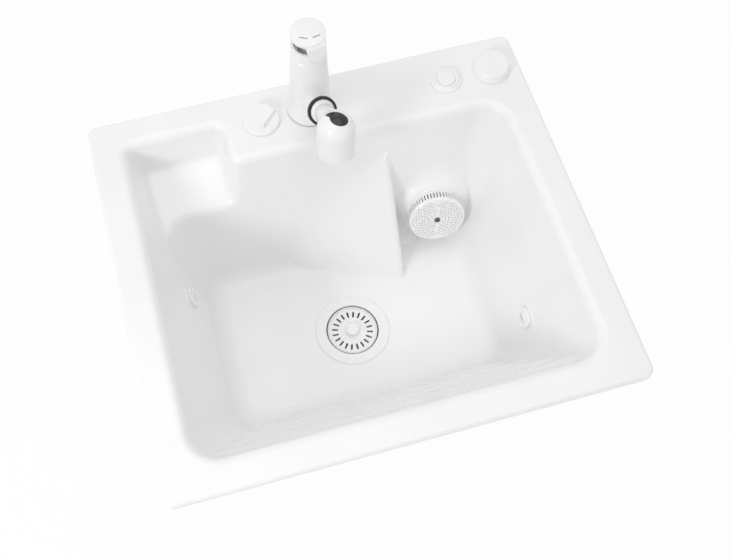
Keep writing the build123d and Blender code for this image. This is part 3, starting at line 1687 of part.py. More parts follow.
with BuildPart() as pump_cowl:
    with BuildSketch(across(motor_left)):
        Circle(motor_radius)
    extrude(amount=-cowl_length)
    with BuildSketch(across(motor_left)):
        Circle(motor_radius - cowl_wall)
    extrude(amount=-cowl_length + cowl_wall, mode=Mode.SUBTRACT)
    with BuildSketch(across(motor_left - cowl_length)):
        with PolarLocations(motor_radius * 0.55, 16):
            SlotOverall(motor_radius * 0.5, cowl_wall)
    extrude(amount=cowl_wall, mode=Mode.SUBTRACT)
pump_cowl.part.label = "pump_cowl"
export_step(pump_cowl.part, "parts/pump_cowl.step")

fan_left = motor_left - cowl_length + cowl_wall + 4
with BuildPart() as pump_rotor:
    with BuildSketch(across(fan_left)):
        Circle(shaft_radius)
    extrude(amount=motor_right + volute_wall + 3 + impeller_thickness - fan_left)
    with BuildSketch(across(motor_right + volute_wall + 3)):
        Circle(impeller_radius)
    extrude(amount=impeller_thickness)
    with BuildSketch(across(motor_right + volute_wall + 3 + impeller_thickness / 3)):
        with PolarLocations(impeller_radius * 0.75, 7, start_angle=15):
            Rectangle(impeller_radius * 0.6, 6)
    extrude(amount=impeller_thickness, mode=Mode.SUBTRACT)
    with BuildSketch(across(fan_left)):
        Circle(fan_radius * 0.4)
        with PolarLocations(fan_radius * 0.6, fan_blades):
            Rectangle(fan_radius * 0.75, 3)
    extrude(amount=fan_thickness)
pump_rotor.part.label = "pump_rotor"
export_step(pump_rotor.part, "parts/pump_rotor.step")

# ---- Bracket under the bowl, with eight equal screws --------------------------------
arm_width = 2 * (boss_x - bolt_head_radius * 2.5)
with BuildPart() as pump_bracket:
    with BuildSketch(Plane.XY.offset(plate_top)):
        with Locations(((bracket_left + bracket_right) / 2, (bracket_front + bracket_back) / 2)):
            Rectangle(bracket_right - bracket_left, bracket_back - bracket_front)
        with Locations((0, bracket_front)):
            Rectangle(arm_width, 2 * (pump_y - foot_reach - bracket_front - 12), mode=Mode.SUBTRACT)
        with Locations(*boss_places, *foot_bolts):
            Circle(bolt_radius, mode=Mode.SUBTRACT)
    extrude(amount=-bracket_thickness)
pump_bracket.part.label = "pump_bracket"
export_step(pump_bracket.part, "parts/pump_bracket.step")

with BuildPart() as bracket_screws:
    with BuildSketch(Plane.XY.offset(plate_top - bracket_thickness)):
        with Locations(*boss_places, *foot_bolts):
            Circle(bolt_radius)
    extrude(amount=bolt_length)
    with BuildSketch(Plane.XY.offset(plate_top - bracket_thickness)):
        with Locations(*boss_places, *foot_bolts):
            Circle(bolt_head_radius)
    extrude(amount=-bolt_head_height)
bracket_screws.part.label = "bracket_screws"
export_step(bracket_screws.part, "parts/bracket_screws.step")

# ---- Pipes: suction elbow, delivery tee and the two delivery pipes ------------------
elbow_start = suction.origin - suction.z_dir * suction_shank_length
elbow_end = Vector(eye_face, pump_y, pump_z)
with BuildPart() as suction_elbow:
    with BuildLine() as elbow_path:
        FilletPolyline(elbow_start, elbow_corner, elbow_end, radius=suction_bend)
    with BuildSketch(Plane(origin=elbow_start, z_dir=-suction.z_dir)):
        Circle(suction_pipe_radius)
        Circle(suction_pipe_bore, mode=Mode.SUBTRACT)
    sweep(path=elbow_path.wires()[0])
    for start, direction, bore in (
        (elbow_start, suction.z_dir, suction_shank_radius),
        (elbow_end, Vector(-1, 0, 0), eye_radius),
    ):
        socket = Plane(origin=start, z_dir=direction)
        with BuildSketch(socket.offset(-4)):
            Circle(suction_pipe_radius + 3)
            Circle(suction_pipe_bore, mode=Mode.SUBTRACT)
        extrude(amount=4)
        with BuildSketch(socket):
            Circle(suction_pipe_radius + 3)
            Circle(bore + thread_clearance, mode=Mode.SUBTRACT)
        extrude(amount=socket_depth)
suction_elbow.part.label = "suction_elbow"
export_step(suction_elbow.part, "parts/suction_elbow.step")

tee_foot = Plane(origin=(outlet_x, outlet_y, tee_z - tee_drop))
tee_middle = Plane(origin=(outlet_x, outlet_y, tee_z), x_dir=(0, 1, 0), z_dir=(1, 0, 0))
with BuildPart() as delivery_tee:
    with BuildSketch(tee_foot):
        Circle(outlet_radius + 3)
    extrude(amount=tee_drop)
    with BuildSketch(tee_middle):
        Circle(port_radius)
    extrude(amount=tee_arm, both=True)
    with BuildSketch(tee_foot):
        Circle(outlet_radius + thread_clearance)
    extrude(amount=socket_depth, mode=Mode.SUBTRACT)
    with BuildSketch(tee_foot):
        Circle(tee_leg_bore)
    extrude(amount=tee_drop, mode=Mode.SUBTRACT)
    with BuildSketch(tee_middle):
        Circle(pipe_bore)
    extrude(amount=tee_arm, both=True, mode=Mode.SUBTRACT)
    for side in (-1, 1):
        with BuildSketch(tee_middle.offset(side * tee_arm)):
            Circle(pipe_radius + thread_clearance)
        extrude(amount=-side * socket_depth, mode=Mode.SUBTRACT)
delivery_tee.part.label = "delivery_tee"
export_step(delivery_tee.part, "parts/delivery_tee.step")


def delivery_pipe(points):
    """A pipe through the points, with equal bends."""
    start = points[0]
    with BuildPart() as pipe:
        with BuildLine() as path:
            FilletPolyline(*points, radius=pipe_bend)
        with BuildSketch(Plane(origin=start, z_dir=points[1] - start)):
            Circle(pipe_radius)
            Circle(pipe_bore, mode=Mode.SUBTRACT)
        sweep(path=path.wires()[0])
    return pipe


tee_end = tee_arm - socket_depth
port_end = port_reach - socket_depth
drop_start = outlet_y - 1.5 * pipe_bend
for side, port, name in ((-1, left_port, "left_delivery_pipe"), (1, right_port, "right_delivery_pipe")):
    pipe = delivery_pipe(
        [
            Vector(outlet_x + side * tee_end, outlet_y, tee_z),
            Vector(port.X, outlet_y, tee_z),
            Vector(port.X, drop_start, tee_z),
            Vector(port.X, drop_start - 2 * pipe_bend, port.Z),
            Vector(port.X, port.Y + port_end, port.Z),
        ]
    )
    pipe.part.label = name
    export_step(pipe.part, f"parts/{name}.step")
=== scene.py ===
# %% [markdown]
# # A drop-in laundry sink in white acrylic
# The sink's solids come in as a fixed frame: every piece already has its real place and size in metres.
# This lesson dresses them: it sets up the camera, gives each piece the finish of the real material, adds the
# small things that solids leave out, such as the dots on the air control's cap, and lights the sink softly.

import math

import bmesh
import bpy
from mathutils import Matrix, Vector


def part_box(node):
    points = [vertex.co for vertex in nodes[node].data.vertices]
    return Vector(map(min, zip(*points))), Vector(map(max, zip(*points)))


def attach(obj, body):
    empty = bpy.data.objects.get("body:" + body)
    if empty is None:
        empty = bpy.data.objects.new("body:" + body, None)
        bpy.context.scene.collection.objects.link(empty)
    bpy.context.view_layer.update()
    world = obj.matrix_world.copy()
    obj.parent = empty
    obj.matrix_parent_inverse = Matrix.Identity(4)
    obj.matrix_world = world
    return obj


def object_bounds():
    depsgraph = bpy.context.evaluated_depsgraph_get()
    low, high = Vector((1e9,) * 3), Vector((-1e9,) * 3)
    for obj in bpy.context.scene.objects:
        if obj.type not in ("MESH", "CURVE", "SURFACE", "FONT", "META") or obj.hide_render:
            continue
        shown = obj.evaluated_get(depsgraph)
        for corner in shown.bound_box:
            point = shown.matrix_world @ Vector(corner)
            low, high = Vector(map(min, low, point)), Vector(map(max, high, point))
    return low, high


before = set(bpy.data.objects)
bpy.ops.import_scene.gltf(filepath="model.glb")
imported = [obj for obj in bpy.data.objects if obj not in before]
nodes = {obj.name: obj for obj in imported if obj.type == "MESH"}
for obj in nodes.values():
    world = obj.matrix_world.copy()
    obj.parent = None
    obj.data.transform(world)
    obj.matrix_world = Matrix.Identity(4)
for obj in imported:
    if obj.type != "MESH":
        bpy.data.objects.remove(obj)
cad_low, cad_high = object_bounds()
scene = bpy.context.scene
print("pieces in the frame:", len(nodes))

# %% [markdown]
# ## The camera
# The picture looks down on the sink from its front left, 65 degrees above the level. A long side of 36 mm and a
# focal length of about 48 mm give the same narrowing towards the back as the real sink shows. The picture was
# trimmed off centre, which a small sideways shift of the lens says better than a turned camera.

# %% Camera
picture_width = 730
focal_pixels = 968.9
optical_centre_x = 328.44
long_side = 36
camera_place = (-0.1922, -0.5617, 1.1725)
camera_forward = (0.1129, 0.4068, -0.9065)


def place_camera(position, forward):
    """Puts a camera at position, looking along forward, with its top up."""
    data = bpy.data.cameras.new("camera")
    camera = bpy.data.objects.new("camera", data)
    scene.collection.objects.link(camera)
    camera.rotation_mode = "QUATERNION"
    camera.location = position
    camera.rotation_quaternion = Vector(forward).to_track_quat("-Z", "Y")
    data.sensor_width = long_side
    data.lens = focal_pixels / picture_width * data.sensor_width
    data.shift_x = (picture_width / 2 - optical_centre_x) / picture_width
    data.clip_start = 0.05
    data.clip_end = 30
    return camera


scene.camera = place_camera(camera_place, camera_forward)
print("lens", round(scene.camera.data.lens, 2), "shift", round(scene.camera.data.shift_x, 4))

# %% [markdown]
# ## Nodes for a material
# Every finish below is a small tree of shader nodes. One helper adds a node, sets its properties and fills or
# links its inputs, so that a recipe reads as a list. Colours are written as sRGB hex, as a paint chart gives
# them, and turned to the linear values that the shader works in.

# %% Colours and nodes
def linear(hex_colour):
    """The linear RGBA of an sRGB hex colour such as #f0f0ee."""
    parts = [int(hex_colour[i : i + 2], 16) / 255 for i in (1, 3, 5)]
    return (*[c / 12.92 if c <= 0.04045 else ((c + 0.055) / 1.055) ** 2.4 for c in parts], 1.0)


def add_node(tree, kind, inputs=None, **settings):
    """Adds a node, sets its properties, then gives each input a value or another node's socket."""
    made = tree.nodes.new(kind)
    for name, value in settings.items():
        setattr(made, name, value)
    for name, value in (inputs or {}).items():
        socket = made.inputs[name]
        if isinstance(value, bpy.types.NodeSocket):
            tree.links.new(value, socket)
        else:
            socket.default_value = value
    return made


# %% A finish
def grain(tree, size_mm, detail=2.0, roughness=0.5):
    """A noise whose lumps are about size_mm across, in the piece's own metres."""
    place = add_node(tree, "ShaderNodeTexCoord")
    scale = 1000 / size_mm
    return add_node(
        tree,
        "ShaderNodeTexNoise",
        {"Vector": place.outputs["Object"], "Scale": scale, "Detail": detail, "Roughness": roughness},
    ).outputs["Fac"]


def finish_of(name, hex_colour, hex_deep, patch, rough, relief, **constants):
    """A finish: colour that drifts between two tones over patches, roughness that varies, and a fine relief.

    patch is the patches' size, rough is (smoothest, roughest) and relief is (grain, depth); sizes are in mm.
    The constants are the shader's own sockets, such as IOR, with underscores in place of spaces."""
    material = bpy.data.materials.new(name)
    material.use_nodes = True
    tree = material.node_tree
    shader = tree.nodes["Principled BSDF"]
    # Most of a noise lies between 0.3 and 0.7, so that middle is stretched to the values that are wanted.
    middle = {"From Min": 0.3, "From Max": 0.7}
    drift = add_node(
        tree, "ShaderNodeMapRange", {"Value": grain(tree, patch), **middle, "To Min": 0.0, "To Max": 1.0}
    )
    # A Mix node holds sockets for every data type: 6 and 7 in and 2 out are its colours.
    tone = add_node(
        tree,
        "ShaderNodeMix",
        {"Factor": drift.outputs["Result"], 6: linear(hex_colour), 7: linear(hex_deep)},
        data_type="RGBA",
    )
    tree.links.new(tone.outputs[2], shader.inputs["Base Color"])
    wiped = add_node(
        tree,
        "ShaderNodeMapRange",
        {"Value": grain(tree, patch / 5, detail=4.0), **middle, "To Min": rough[0], "To Max": rough[1]},
    )
    tree.links.new(wiped.outputs["Result"], shader.inputs["Roughness"])
    bump_grain, bump_depth = relief
    bump = add_node(
        tree,
        "ShaderNodeBump",
        {"Height": grain(tree, bump_grain, detail=1.0), "Distance": bump_depth / 1000, "Strength": 1.0},
    )
    tree.links.new(bump.outputs["Normal"], shader.inputs["Normal"])
    for key, value in constants.items():
        shader.inputs[key.replace("_", " ")].default_value = value
    return material


# %% [markdown]
# ## White finishes
# The bowl is sheet acrylic, heated and drawn over a mould by vacuum: very glossy, with a lazy unevenness about
# 20 mm across. The fittings are moulded ABS, the pipes are PVC, and the tap is brass with a white powder coat.
# The whites are told apart by their gloss and relief, because at this brightness their colours hardly differ.

# %% White finishes
# Reflections in it are clear, and bend a little.
acrylic = finish_of(
    "vacuum_formed_acrylic", "#f7f7f7", "#f4f4f4", patch=120, rough=(0.10, 0.17), relief=(22, 0.010),
    IOR=1.49, Specular_IOR_Level=0.5,
)
# The faint pebble of a moulded skin softens its gloss.
white_abs = finish_of(
    "moulded_white_abs", "#f6f6f6", "#f4f4f4", patch=60, rough=(0.24, 0.29), relief=(0.9, 0.0004), IOR=1.53
)
# Duller than ABS and a little warmer, as pipe is.
white_pvc = finish_of(
    "moulded_white_pvc", "#e4e4e1", "#dbdbd7", patch=40, rough=(0.38, 0.5), relief=(2.0, 0.004), IOR=1.53
)
# Glossier than ABS, with a fine orange peel.
powder_coat = finish_of(
    "white_powder_coat_on_brass", "#f6f6f6", "#f4f4f4", patch=60, rough=(0.16, 0.21), relief=(1.8, 0.001),
    IOR=1.5,
)
print("whites:", [finish.name for finish in (acrylic, white_abs, white_pvc, powder_coat)])

# %% [markdown]
# ## Black and grey finishes
# Seals are nitrile or silicone rubber, the spray's button is polished ABS, and the pump below is workshop grey
# and black. None of them is a full black: a real black plastic still sends back about a hundredth of the light.

# %% Black and grey finishes
# Dull, with a rough skin that dust clings to.
black_rubber = finish_of(
    "black_nitrile_rubber", "#242424", "#2e2e2e", patch=12, rough=(0.55, 0.7), relief=(0.9, 0.01), IOR=1.52
)
grey_rubber = finish_of(
    "grey_silicone_rubber", "#6a6b6c", "#5f6061", patch=12, rough=(0.5, 0.65), relief=(0.9, 0.01), IOR=1.43
)
# Nearly a mirror, so that it shows as a black with small bright lights.
black_gloss = finish_of(
    "polished_black_abs", "#141416", "#1a1a1d", patch=20, rough=(0.06, 0.12), relief=(3.0, 0.001), IOR=1.53
)
# A thin flat film.
grey_ink = finish_of(
    "grey_pad_printed_ink", "#7d7e80", "#737476", patch=3, rough=(0.4, 0.5), relief=(0.6, 0.001), IOR=1.5
)
# Sprayed, half glossy, with a wavy skin.
motor_enamel = finish_of(
    "grey_motor_enamel", "#5c6468", "#535a5e", patch=30, rough=(0.34, 0.46), relief=(1.8, 0.012), IOR=1.5
)
# The glass fibres near its surface make it dull.
black_nylon = finish_of(
    "glass_filled_black_nylon", "#232426", "#2b2c2e", patch=10, rough=(0.45, 0.6), relief=(0.9, 0.010),
    IOR=1.53,
)
grey_abs = finish_of(
    "moulded_grey_abs", "#b4b6b7", "#aaacad", patch=12, rough=(0.3, 0.42), relief=(1.2, 0.002), IOR=1.53
)
darks = (black_rubber, grey_rubber, black_gloss, grey_ink, motor_enamel, black_nylon, grey_abs)
print("blacks and greys:", [finish.name for finish in darks])

# %% [markdown]
# ## Bare metals
# The tap's shank and nut are turned brass, its tail pipes drawn stainless steel, and the pump's bracket is
# zinc-plated sheet. A metal's colour is the colour of its reflections, so each takes it from its base colour.

# %% Bare metals
raw_brass = finish_of(
    "turned_brass", "#c9a45c", "#b58e49", patch=8, rough=(0.22, 0.38), relief=(0.8, 0.002), Metallic=1.0
)
stainless = finish_of(
    "drawn_stainless_steel", "#c3c5c7", "#b4b6b9", patch=10, rough=(0.2, 0.32), relief=(0.8, 0.002),
    Metallic=1.0,
)
# Painted shade: stainless steel whose colour is darkened to the grey it shows in dim surroundings, so that the
# screw stands out from the white grille.
steel_with_painted_shade = finish_of(
    "stainless_steel_with_painted_shade", "#77787a", "#6a6b6d", patch=6, rough=(0.3, 0.4), relief=(0.8, 0.002),
    Metallic=1.0,
)
# Its crystals leave a cold, blotchy gloss.
zinc = finish_of(
    "zinc_plated_steel", "#b7bcc2", "#a3a9b1", patch=14, rough=(0.3, 0.5), relief=(1.2, 0.004), Metallic=1.0
)
print("metals:", [finish.name for finish in (raw_brass, stainless, steel_with_painted_shade, zinc)])

# %% Which piece has which finish
dressed = {
    acrylic: "sink_bowl",
    white_abs: "drain_flange strainer_basket strainer_knob waste_knob waste_control_body air_button_housing "
    "air_button_bezel air_button air_control_body air_control_cap suction_body suction_nut suction_grille "
    "left_jet_body right_jet_body jet_flanges left_jet_ring right_jet_ring left_jet_eyeball right_jet_eyeball "
    "deck_nuts drain_locknut tail_nut drain_tail cartridge_spindle cartridge_body",
    white_pvc: "suction_elbow delivery_tee left_delivery_pipe right_delivery_pipe",
    powder_coat: "tap_body cartridge_collar lever_handle spray_body",
    black_rubber: "rim_seal tap_base_gasket docking_ring",
    grey_rubber: "drain_gasket tap_washer suction_gasket jet_gaskets plug_seal",
    black_gloss: "spray_button",
    grey_ink: "lever_marks",
    grey_abs: "spray_face",
    raw_brass: "tap_shank tap_nut",
    stainless: "tap_tail_pipes lever_pin",
    steel_with_painted_shade: "suction_screw",
    zinc: "pump_bracket bracket_screws",
    motor_enamel: "pump_motor",
    black_nylon: "pump_volute pump_cowl terminal_box mains_gland pump_rotor lift_cable_gland",
}
for material, names in dressed.items():
    for name in names.split():
        slots = nodes[name].material_slots
        if not slots:
            nodes[name].data.materials.append(material)
        for slot in slots:
            slot.material = material
left_plain = sorted(set(nodes) - {n for names in dressed.values() for n in names.split()})
print("finishes:", len(dressed), "without one:", left_plain)

# %% [markdown]
# ## Soft valleys
# A sheet drawn over a mould never folds sharply: where the wedge grows out of the back wall, and above the pad
# that carries the suction fitting, the acrylic bridges the valley in a wide curve. The solid leaves both sharp,
# and its mesh stays as it came. So each curve is a piece of its own: a slender sliver that lies in the valley
# and meets both faces at a tangent, as a quadratic Bezier curve does when its middle control point is on the
# crease. It runs out to almost nothing at its ends.

# %% A sliver from rows of points
wall_slope = 65 / 230
wall_normal = Vector((0, -1, wall_slope)).normalized()


def shares_along(steps):
    """Shares of a valley's length, from just inside one end to just inside the other."""
    return [0.01 + 0.98 * i / steps for i in range(steps + 1)]


def sliver(name, rows, across=20, lift=0.00003, sunk=0.0015):
    """A closed strip. Each row is (left, crease, right, normal of the left face, normal of the right face).

    lift keeps its curve just clear of the faces it meets, and sunk hides its back inside them."""
    strip = bmesh.new()
    rings = []
    for left, crease, right, left_normal, right_normal in rows:
        between = (left_normal + right_normal).normalized()
        shares = [k / across for k in range(across + 1)]
        ring = [
            left * (1 - s) ** 2 + crease * 2 * s * (1 - s) + right * s**2 + between * lift for s in shares
        ]
        ring += [right - right_normal * sunk, crease - between * sunk, left - left_normal * sunk]
        rings.append([strip.verts.new(point) for point in ring])
    count = len(rings[0])
    for first, second in zip(rings, rings[1:]):
        for k in range(count):
            n = (k + 1) % count
            strip.faces.new((first[k], first[n], second[n], second[k])).smooth = k < across
    strip.faces.new(rings[0])
    strip.faces.new(rings[-1])
    bmesh.ops.recalc_face_normals(strip, faces=strip.faces)
    for edge in strip.edges:
        edge.smooth = all(face.smooth for face in edge.link_faces)
    mesh = bpy.data.meshes.new(name)
    strip.to_mesh(mesh)
    strip.free()
    mesh.materials.append(acrylic)
    piece = bpy.data.objects.new(name, mesh)
    scene.collection.objects.link(piece)
    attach(piece, "sink")
    print(name, "faces:", len(mesh.polygons))
    return piece


# %% Valley beside the wedge
wedge_peak = Vector((0.1000, 0.15785, -0.0300))
wedge_heel = Vector((-0.0870, 0.1050, -0.2170))
wedge_toe = Vector((0.1000, 0.0300, -0.2170))


def wedge_rows(widest, steps=60):
    """Rows along the crease from the wedge's peak to its heel, widest halfway down."""
    along = wedge_heel - wedge_peak
    facet_normal = (wedge_toe - wedge_peak).cross(along).normalized()
    if facet_normal.dot(wall_normal) < 0:
        facet_normal.negate()
    on_facet = facet_normal.cross(along).normalized()
    if on_facet.dot(wedge_toe - wedge_peak) < 0:
        on_facet.negate()
    on_wall = wall_normal.cross(along).normalized()
    if on_wall.dot(on_facet) > 0:
        on_wall.negate()
    for share in shares_along(steps):
        width = 4 * widest * share * (1 - share)
        crease = wedge_peak + along * share
        yield crease + on_wall * width, crease, crease + on_facet * width, wall_normal, facet_normal


sliver("wedge_valley", wedge_rows(0.031))

# %% Valley above the suction pad
pad_centre = Vector((0.1655, 0.1060, -0.1559))
pad_radius = 0.0505
pad_flare = math.radians(52)
pad_rise = math.radians(17)
pad_turn = math.radians(8)
wall_point = Vector((0, 0.170, 0.013))


def pad_rows(widest, first=40, last=140, steps=40):
    """Rows round the pad's top, from angle first to angle last: from its flank on to the back wall."""
    facing_out = Vector(
        (
            -math.cos(pad_rise) * math.sin(pad_turn),
            -math.cos(pad_rise) * math.cos(pad_turn),
            math.sin(pad_rise),
        )
    )
    level = Vector((math.cos(pad_turn), -math.sin(pad_turn), 0))
    upwards = facing_out.cross(level)
    if upwards.z < 0:
        upwards.negate()
    for share in shares_along(steps):
        angle = math.radians(first + (last - first) * share)
        spoke = level * math.cos(angle) + upwards * math.sin(angle)
        rim = pad_centre + spoke * pad_radius
        flank = spoke * math.sin(pad_flare) - facing_out * math.cos(pad_flare)
        crease = rim + flank * ((wall_point - rim).dot(wall_normal) / flank.dot(wall_normal))
        flank_normal = spoke * math.cos(pad_flare) + facing_out * math.sin(pad_flare)
        on_wall = (spoke - facing_out * (spoke.dot(wall_normal) / facing_out.dot(wall_normal))).normalized()
        width = widest * math.sin(math.pi * share)
        yield crease - flank * width, crease, crease + on_wall * width, flank_normal, wall_normal


sliver("pad_valley", pad_rows(0.020))

# %% [markdown]
# ## Repeats with Geometry Nodes
# Threads, cooling ribs and rows of dots are one small shape many times over, which is what Geometry Nodes are
# for. A helper keeps the bookkeeping: it makes a tree with named inputs, puts it on an empty mesh with those
# inputs set, takes the evaluated result as a plain mesh and moves it to its place. Modelling each ring by hand
# would give the same picture, but no single number to change its pitch.

# %% Begin and end a tree
def new_tree(name, inputs):
    """A geometry tree with the named inputs (name: (socket type, default)), and its group input's sockets."""
    tree = bpy.data.node_groups.new(name, "GeometryNodeTree")
    tree.interface.new_socket("Geometry", in_out="OUTPUT", socket_type="NodeSocketGeometry")
    for label, (kind, value) in inputs.items():
        socket = tree.interface.new_socket(label, in_out="INPUT", socket_type=kind)
        socket.default_value = value
    return tree, add_node(tree, "NodeGroupInput").outputs


def close_tree(tree, instances, material):
    """Ends a tree: the instances made real, then their material."""
    real = add_node(tree, "GeometryNodeRealizeInstances", {"Geometry": instances})
    painted = add_node(
        tree,
        "GeometryNodeSetMaterial",
        {"Geometry": real.outputs[0], "Material": material},
    )
    add_node(tree, "NodeGroupOutput", {"Geometry": painted.outputs[0]})


# %% Grow a tree into a piece
def grow(name, tree, values, place, body):
    """Runs a tree with the given values, keeps the result as a plain mesh at its place, riding on a body."""
    seed = bpy.data.objects.new(name + "_seed", bpy.data.meshes.new(name + "_seed"))
    scene.collection.objects.link(seed)
    modifier = seed.modifiers.new("grow", "NODES")
    modifier.node_group = tree
    for item in tree.interface.items_tree:
        if item.in_out == "INPUT" and item.name in values:
            modifier[item.identifier] = values[item.name]
    evaluated = seed.evaluated_get(bpy.context.evaluated_depsgraph_get())
    mesh = bpy.data.meshes.new_from_object(evaluated)
    seed.modifiers.clear()
    bpy.data.objects.remove(seed)
    mesh.name = name
    mesh.transform(place)
    mesh.shade_smooth()
    piece = bpy.data.objects.new(name, mesh)
    scene.collection.objects.link(piece)
    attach(piece, body)
    print(name, "faces:", len(mesh.polygons))
    return piece


def facing(origin, direction):
    """A place at origin whose Z axis points along direction."""
    return Matrix.Translation(origin) @ Vector(direction).to_track_quat("Z", "Y").to_matrix().to_4x4()


# %% [markdown]
# ### Threads
# A cut thread on a plastic or brass shank is 1.5 to 2 mm from crest to crest. Seen from half a metre its helix
# can't be told from a stack of rings, and rings are lighter, so each thread is a column of half-sunk rings.

# %% A tree for threads
def thread_tree(material):
    """A tree that stacks Count rings of bead radius Crest, Pitch apart."""
    tree, given = new_tree(
        "thread_" + material.name,
        {
            "Radius": ("NodeSocketFloat", 0.016),
            "Crest": ("NodeSocketFloat", 0.0005),
            "Pitch": ("NodeSocketFloat", 0.002),
            "Count": ("NodeSocketInt", 10),
        },
    )
    path = add_node(tree, "GeometryNodeCurvePrimitiveCircle", {"Resolution": 64, "Radius": given["Radius"]})
    bead = add_node(tree, "GeometryNodeCurvePrimitiveCircle", {"Resolution": 8, "Radius": given["Crest"]})
    ring = add_node(
        tree,
        "GeometryNodeCurveToMesh",
        {"Curve": path.outputs["Curve"], "Profile Curve": bead.outputs["Curve"]},
    )
    step = add_node(tree, "ShaderNodeCombineXYZ", {"Z": given["Pitch"]})
    column = add_node(tree, "GeometryNodeMeshLine", {"Count": given["Count"], "Offset": step.outputs[0]})
    copies = add_node(
        tree, "GeometryNodeInstanceOnPoints", {"Points": column.outputs[0], "Instance": ring.outputs[0]}
    )
    close_tree(tree, copies.outputs[0], material)
    return tree


# %% Threads under the deck
below_nut = 0.001
plain_end = 0.003
sunk_crest = 0.0001


def thread(name, tree, radius, x, y, nut_foot, shank_foot, pitch):
    """A thread round an upright shank at x, y: from just below its nut down to the shank's plain end."""
    count = int((nut_foot - shank_foot - plain_end) / pitch)
    values = {"Radius": radius - sunk_crest, "Crest": pitch * 0.25, "Pitch": pitch, "Count": count}
    place = facing((x, y, nut_foot - below_nut), (0, 0, -1))
    return grow(name, tree, values, place, "sink")


abs_thread = thread_tree(white_abs)
brass_thread = thread_tree(raw_brass)
shank_low, shank_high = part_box("tap_shank")
shank_radius = (shank_high.x - shank_low.x) / 2
tap_nut_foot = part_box("tap_nut")[0].z
deck_nut_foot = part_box("deck_nuts")[0].z
thread(
    "tap_shank_thread", brass_thread, shank_radius, 0, 0.230, tap_nut_foot, shank_low.z, 0.0015
)
for name, x, y, housing_foot in (
    ("air_button_thread", 0.203, 0.223, -0.031),
    ("air_control_thread", 0.274, 0.225, -0.021),
):
    thread(name, abs_thread, 0.016, x, y, deck_nut_foot, housing_foot, 0.002)

# %% [markdown]
# ### The cap of the air control
# Its top carries a star of small raised dots for grip. Each dot's place follows from its number: number / rays
# has the ring as its whole part and the ray as what remains, and each ring is turned half a ray on from the
# one inside it. Fields compute that for all points at once.

# %% Star of dots
def star_tree(material):
    """A tree that lays Rings rings of Rays flattened dots, Pitch apart, from radius First outwards."""
    tree, given = new_tree(
        "star_of_dots",
        {
            "Rays": ("NodeSocketInt", 16),
            "Rings": ("NodeSocketInt", 6),
            "First": ("NodeSocketFloat", 0.003),
            "Pitch": ("NodeSocketFloat", 0.003),
            "Dot": ("NodeSocketFloat", 0.0008),
        },
    )
    number = add_node(tree, "GeometryNodeInputIndex").outputs[0]
    share = add_node(tree, "ShaderNodeMath", {0: number, 1: given["Rays"]}, operation="DIVIDE").outputs[0]
    ring = add_node(tree, "ShaderNodeMath", {0: share}, operation="FLOOR").outputs[0]
    reach = add_node(
        tree, "ShaderNodeMath", {0: ring, 1: given["Pitch"], 2: given["First"]}, operation="MULTIPLY_ADD"
    ).outputs[0]
    turned = add_node(tree, "ShaderNodeMath", {0: share, 1: math.tau}, operation="MULTIPLY").outputs[0]
    half = add_node(tree, "ShaderNodeMath", {0: ring, 1: 0.5}, operation="MULTIPLY").outputs[0]
    shift = add_node(tree, "ShaderNodeMath", {0: half, 1: given["Rays"]}, operation="DIVIDE").outputs[0]
    angle = add_node(
        tree, "ShaderNodeMath", {0: shift, 1: math.tau, 2: turned}, operation="MULTIPLY_ADD"
    ).outputs[0]
    across = add_node(tree, "ShaderNodeMath", {0: angle}, operation="COSINE").outputs[0]
    along = add_node(tree, "ShaderNodeMath", {0: angle}, operation="SINE").outputs[0]
    x = add_node(tree, "ShaderNodeMath", {0: across, 1: reach}, operation="MULTIPLY").outputs[0]
    y = add_node(tree, "ShaderNodeMath", {0: along, 1: reach}, operation="MULTIPLY").outputs[0]
    place = add_node(tree, "ShaderNodeCombineXYZ", {"X": x, "Y": y}).outputs[0]
    total = add_node(
        tree, "ShaderNodeMath", {0: given["Rays"], 1: given["Rings"]}, operation="MULTIPLY"
    ).outputs[0]
    dots = add_node(tree, "GeometryNodePoints", {"Count": total, "Position": place, "Radius": 0.001})
    dot = add_node(tree, "GeometryNodeMeshIcoSphere", {"Radius": given["Dot"], "Subdivisions": 2})
    copies = add_node(
        tree,
        "GeometryNodeInstanceOnPoints",
        {"Points": dots.outputs[0], "Instance": dot.outputs["Mesh"], "Scale": (1, 1, 0.5)},
    )
    close_tree(tree, copies.outputs[0], material)
    return tree


cap_low, cap_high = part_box("air_control_cap")
grow(
    "air_control_dots",
    star_tree(white_abs),
    {"Rays": 16, "Rings": 6, "First": 0.0042, "Pitch": 0.0031, "Dot": 0.0008},
    Matrix.Translation(((cap_low.x + cap_high.x) / 2, (cap_low.y + cap_high.y) / 2, cap_high.z)),
    "air_control",
)

# %% [markdown]
# ### Cooling ribs on the motor
# The pump's motor housing is die-cast with ribs along it that carry the heat away. A ring of points gives the
# places, and each rib, a thin block, is turned to face away from the ring's middle.

# %% Motor ribs
def rib_tree(material):
    """A tree that sets Count blocks of the given Size in a ring, each facing outwards."""
    tree, given = new_tree(
        "ring_of_ribs",
        {
            "Radius": ("NodeSocketFloat", 0.046),
            "Count": ("NodeSocketInt", 40),
            "Size": ("NodeSocketVector", (0.004, 0.002, 0.1)),
        },
    )
    places = add_node(tree, "GeometryNodeMeshCircle", {"Vertices": given["Count"], "Radius": given["Radius"]})
    spot = add_node(tree, "GeometryNodeInputPosition")
    outwards = add_node(
        tree, "FunctionNodeAlignRotationToVector", {"Vector": spot.outputs[0]}, axis="X", pivot_axis="Z"
    )
    rib = add_node(tree, "GeometryNodeMeshCube", {"Size": given["Size"]})
    copies = add_node(
        tree,
        "GeometryNodeInstanceOnPoints",
        {"Points": places.outputs[0], "Instance": rib.outputs["Mesh"], "Rotation": outwards.outputs[0]},
    )
    close_tree(tree, copies.outputs[0], material)
    return tree


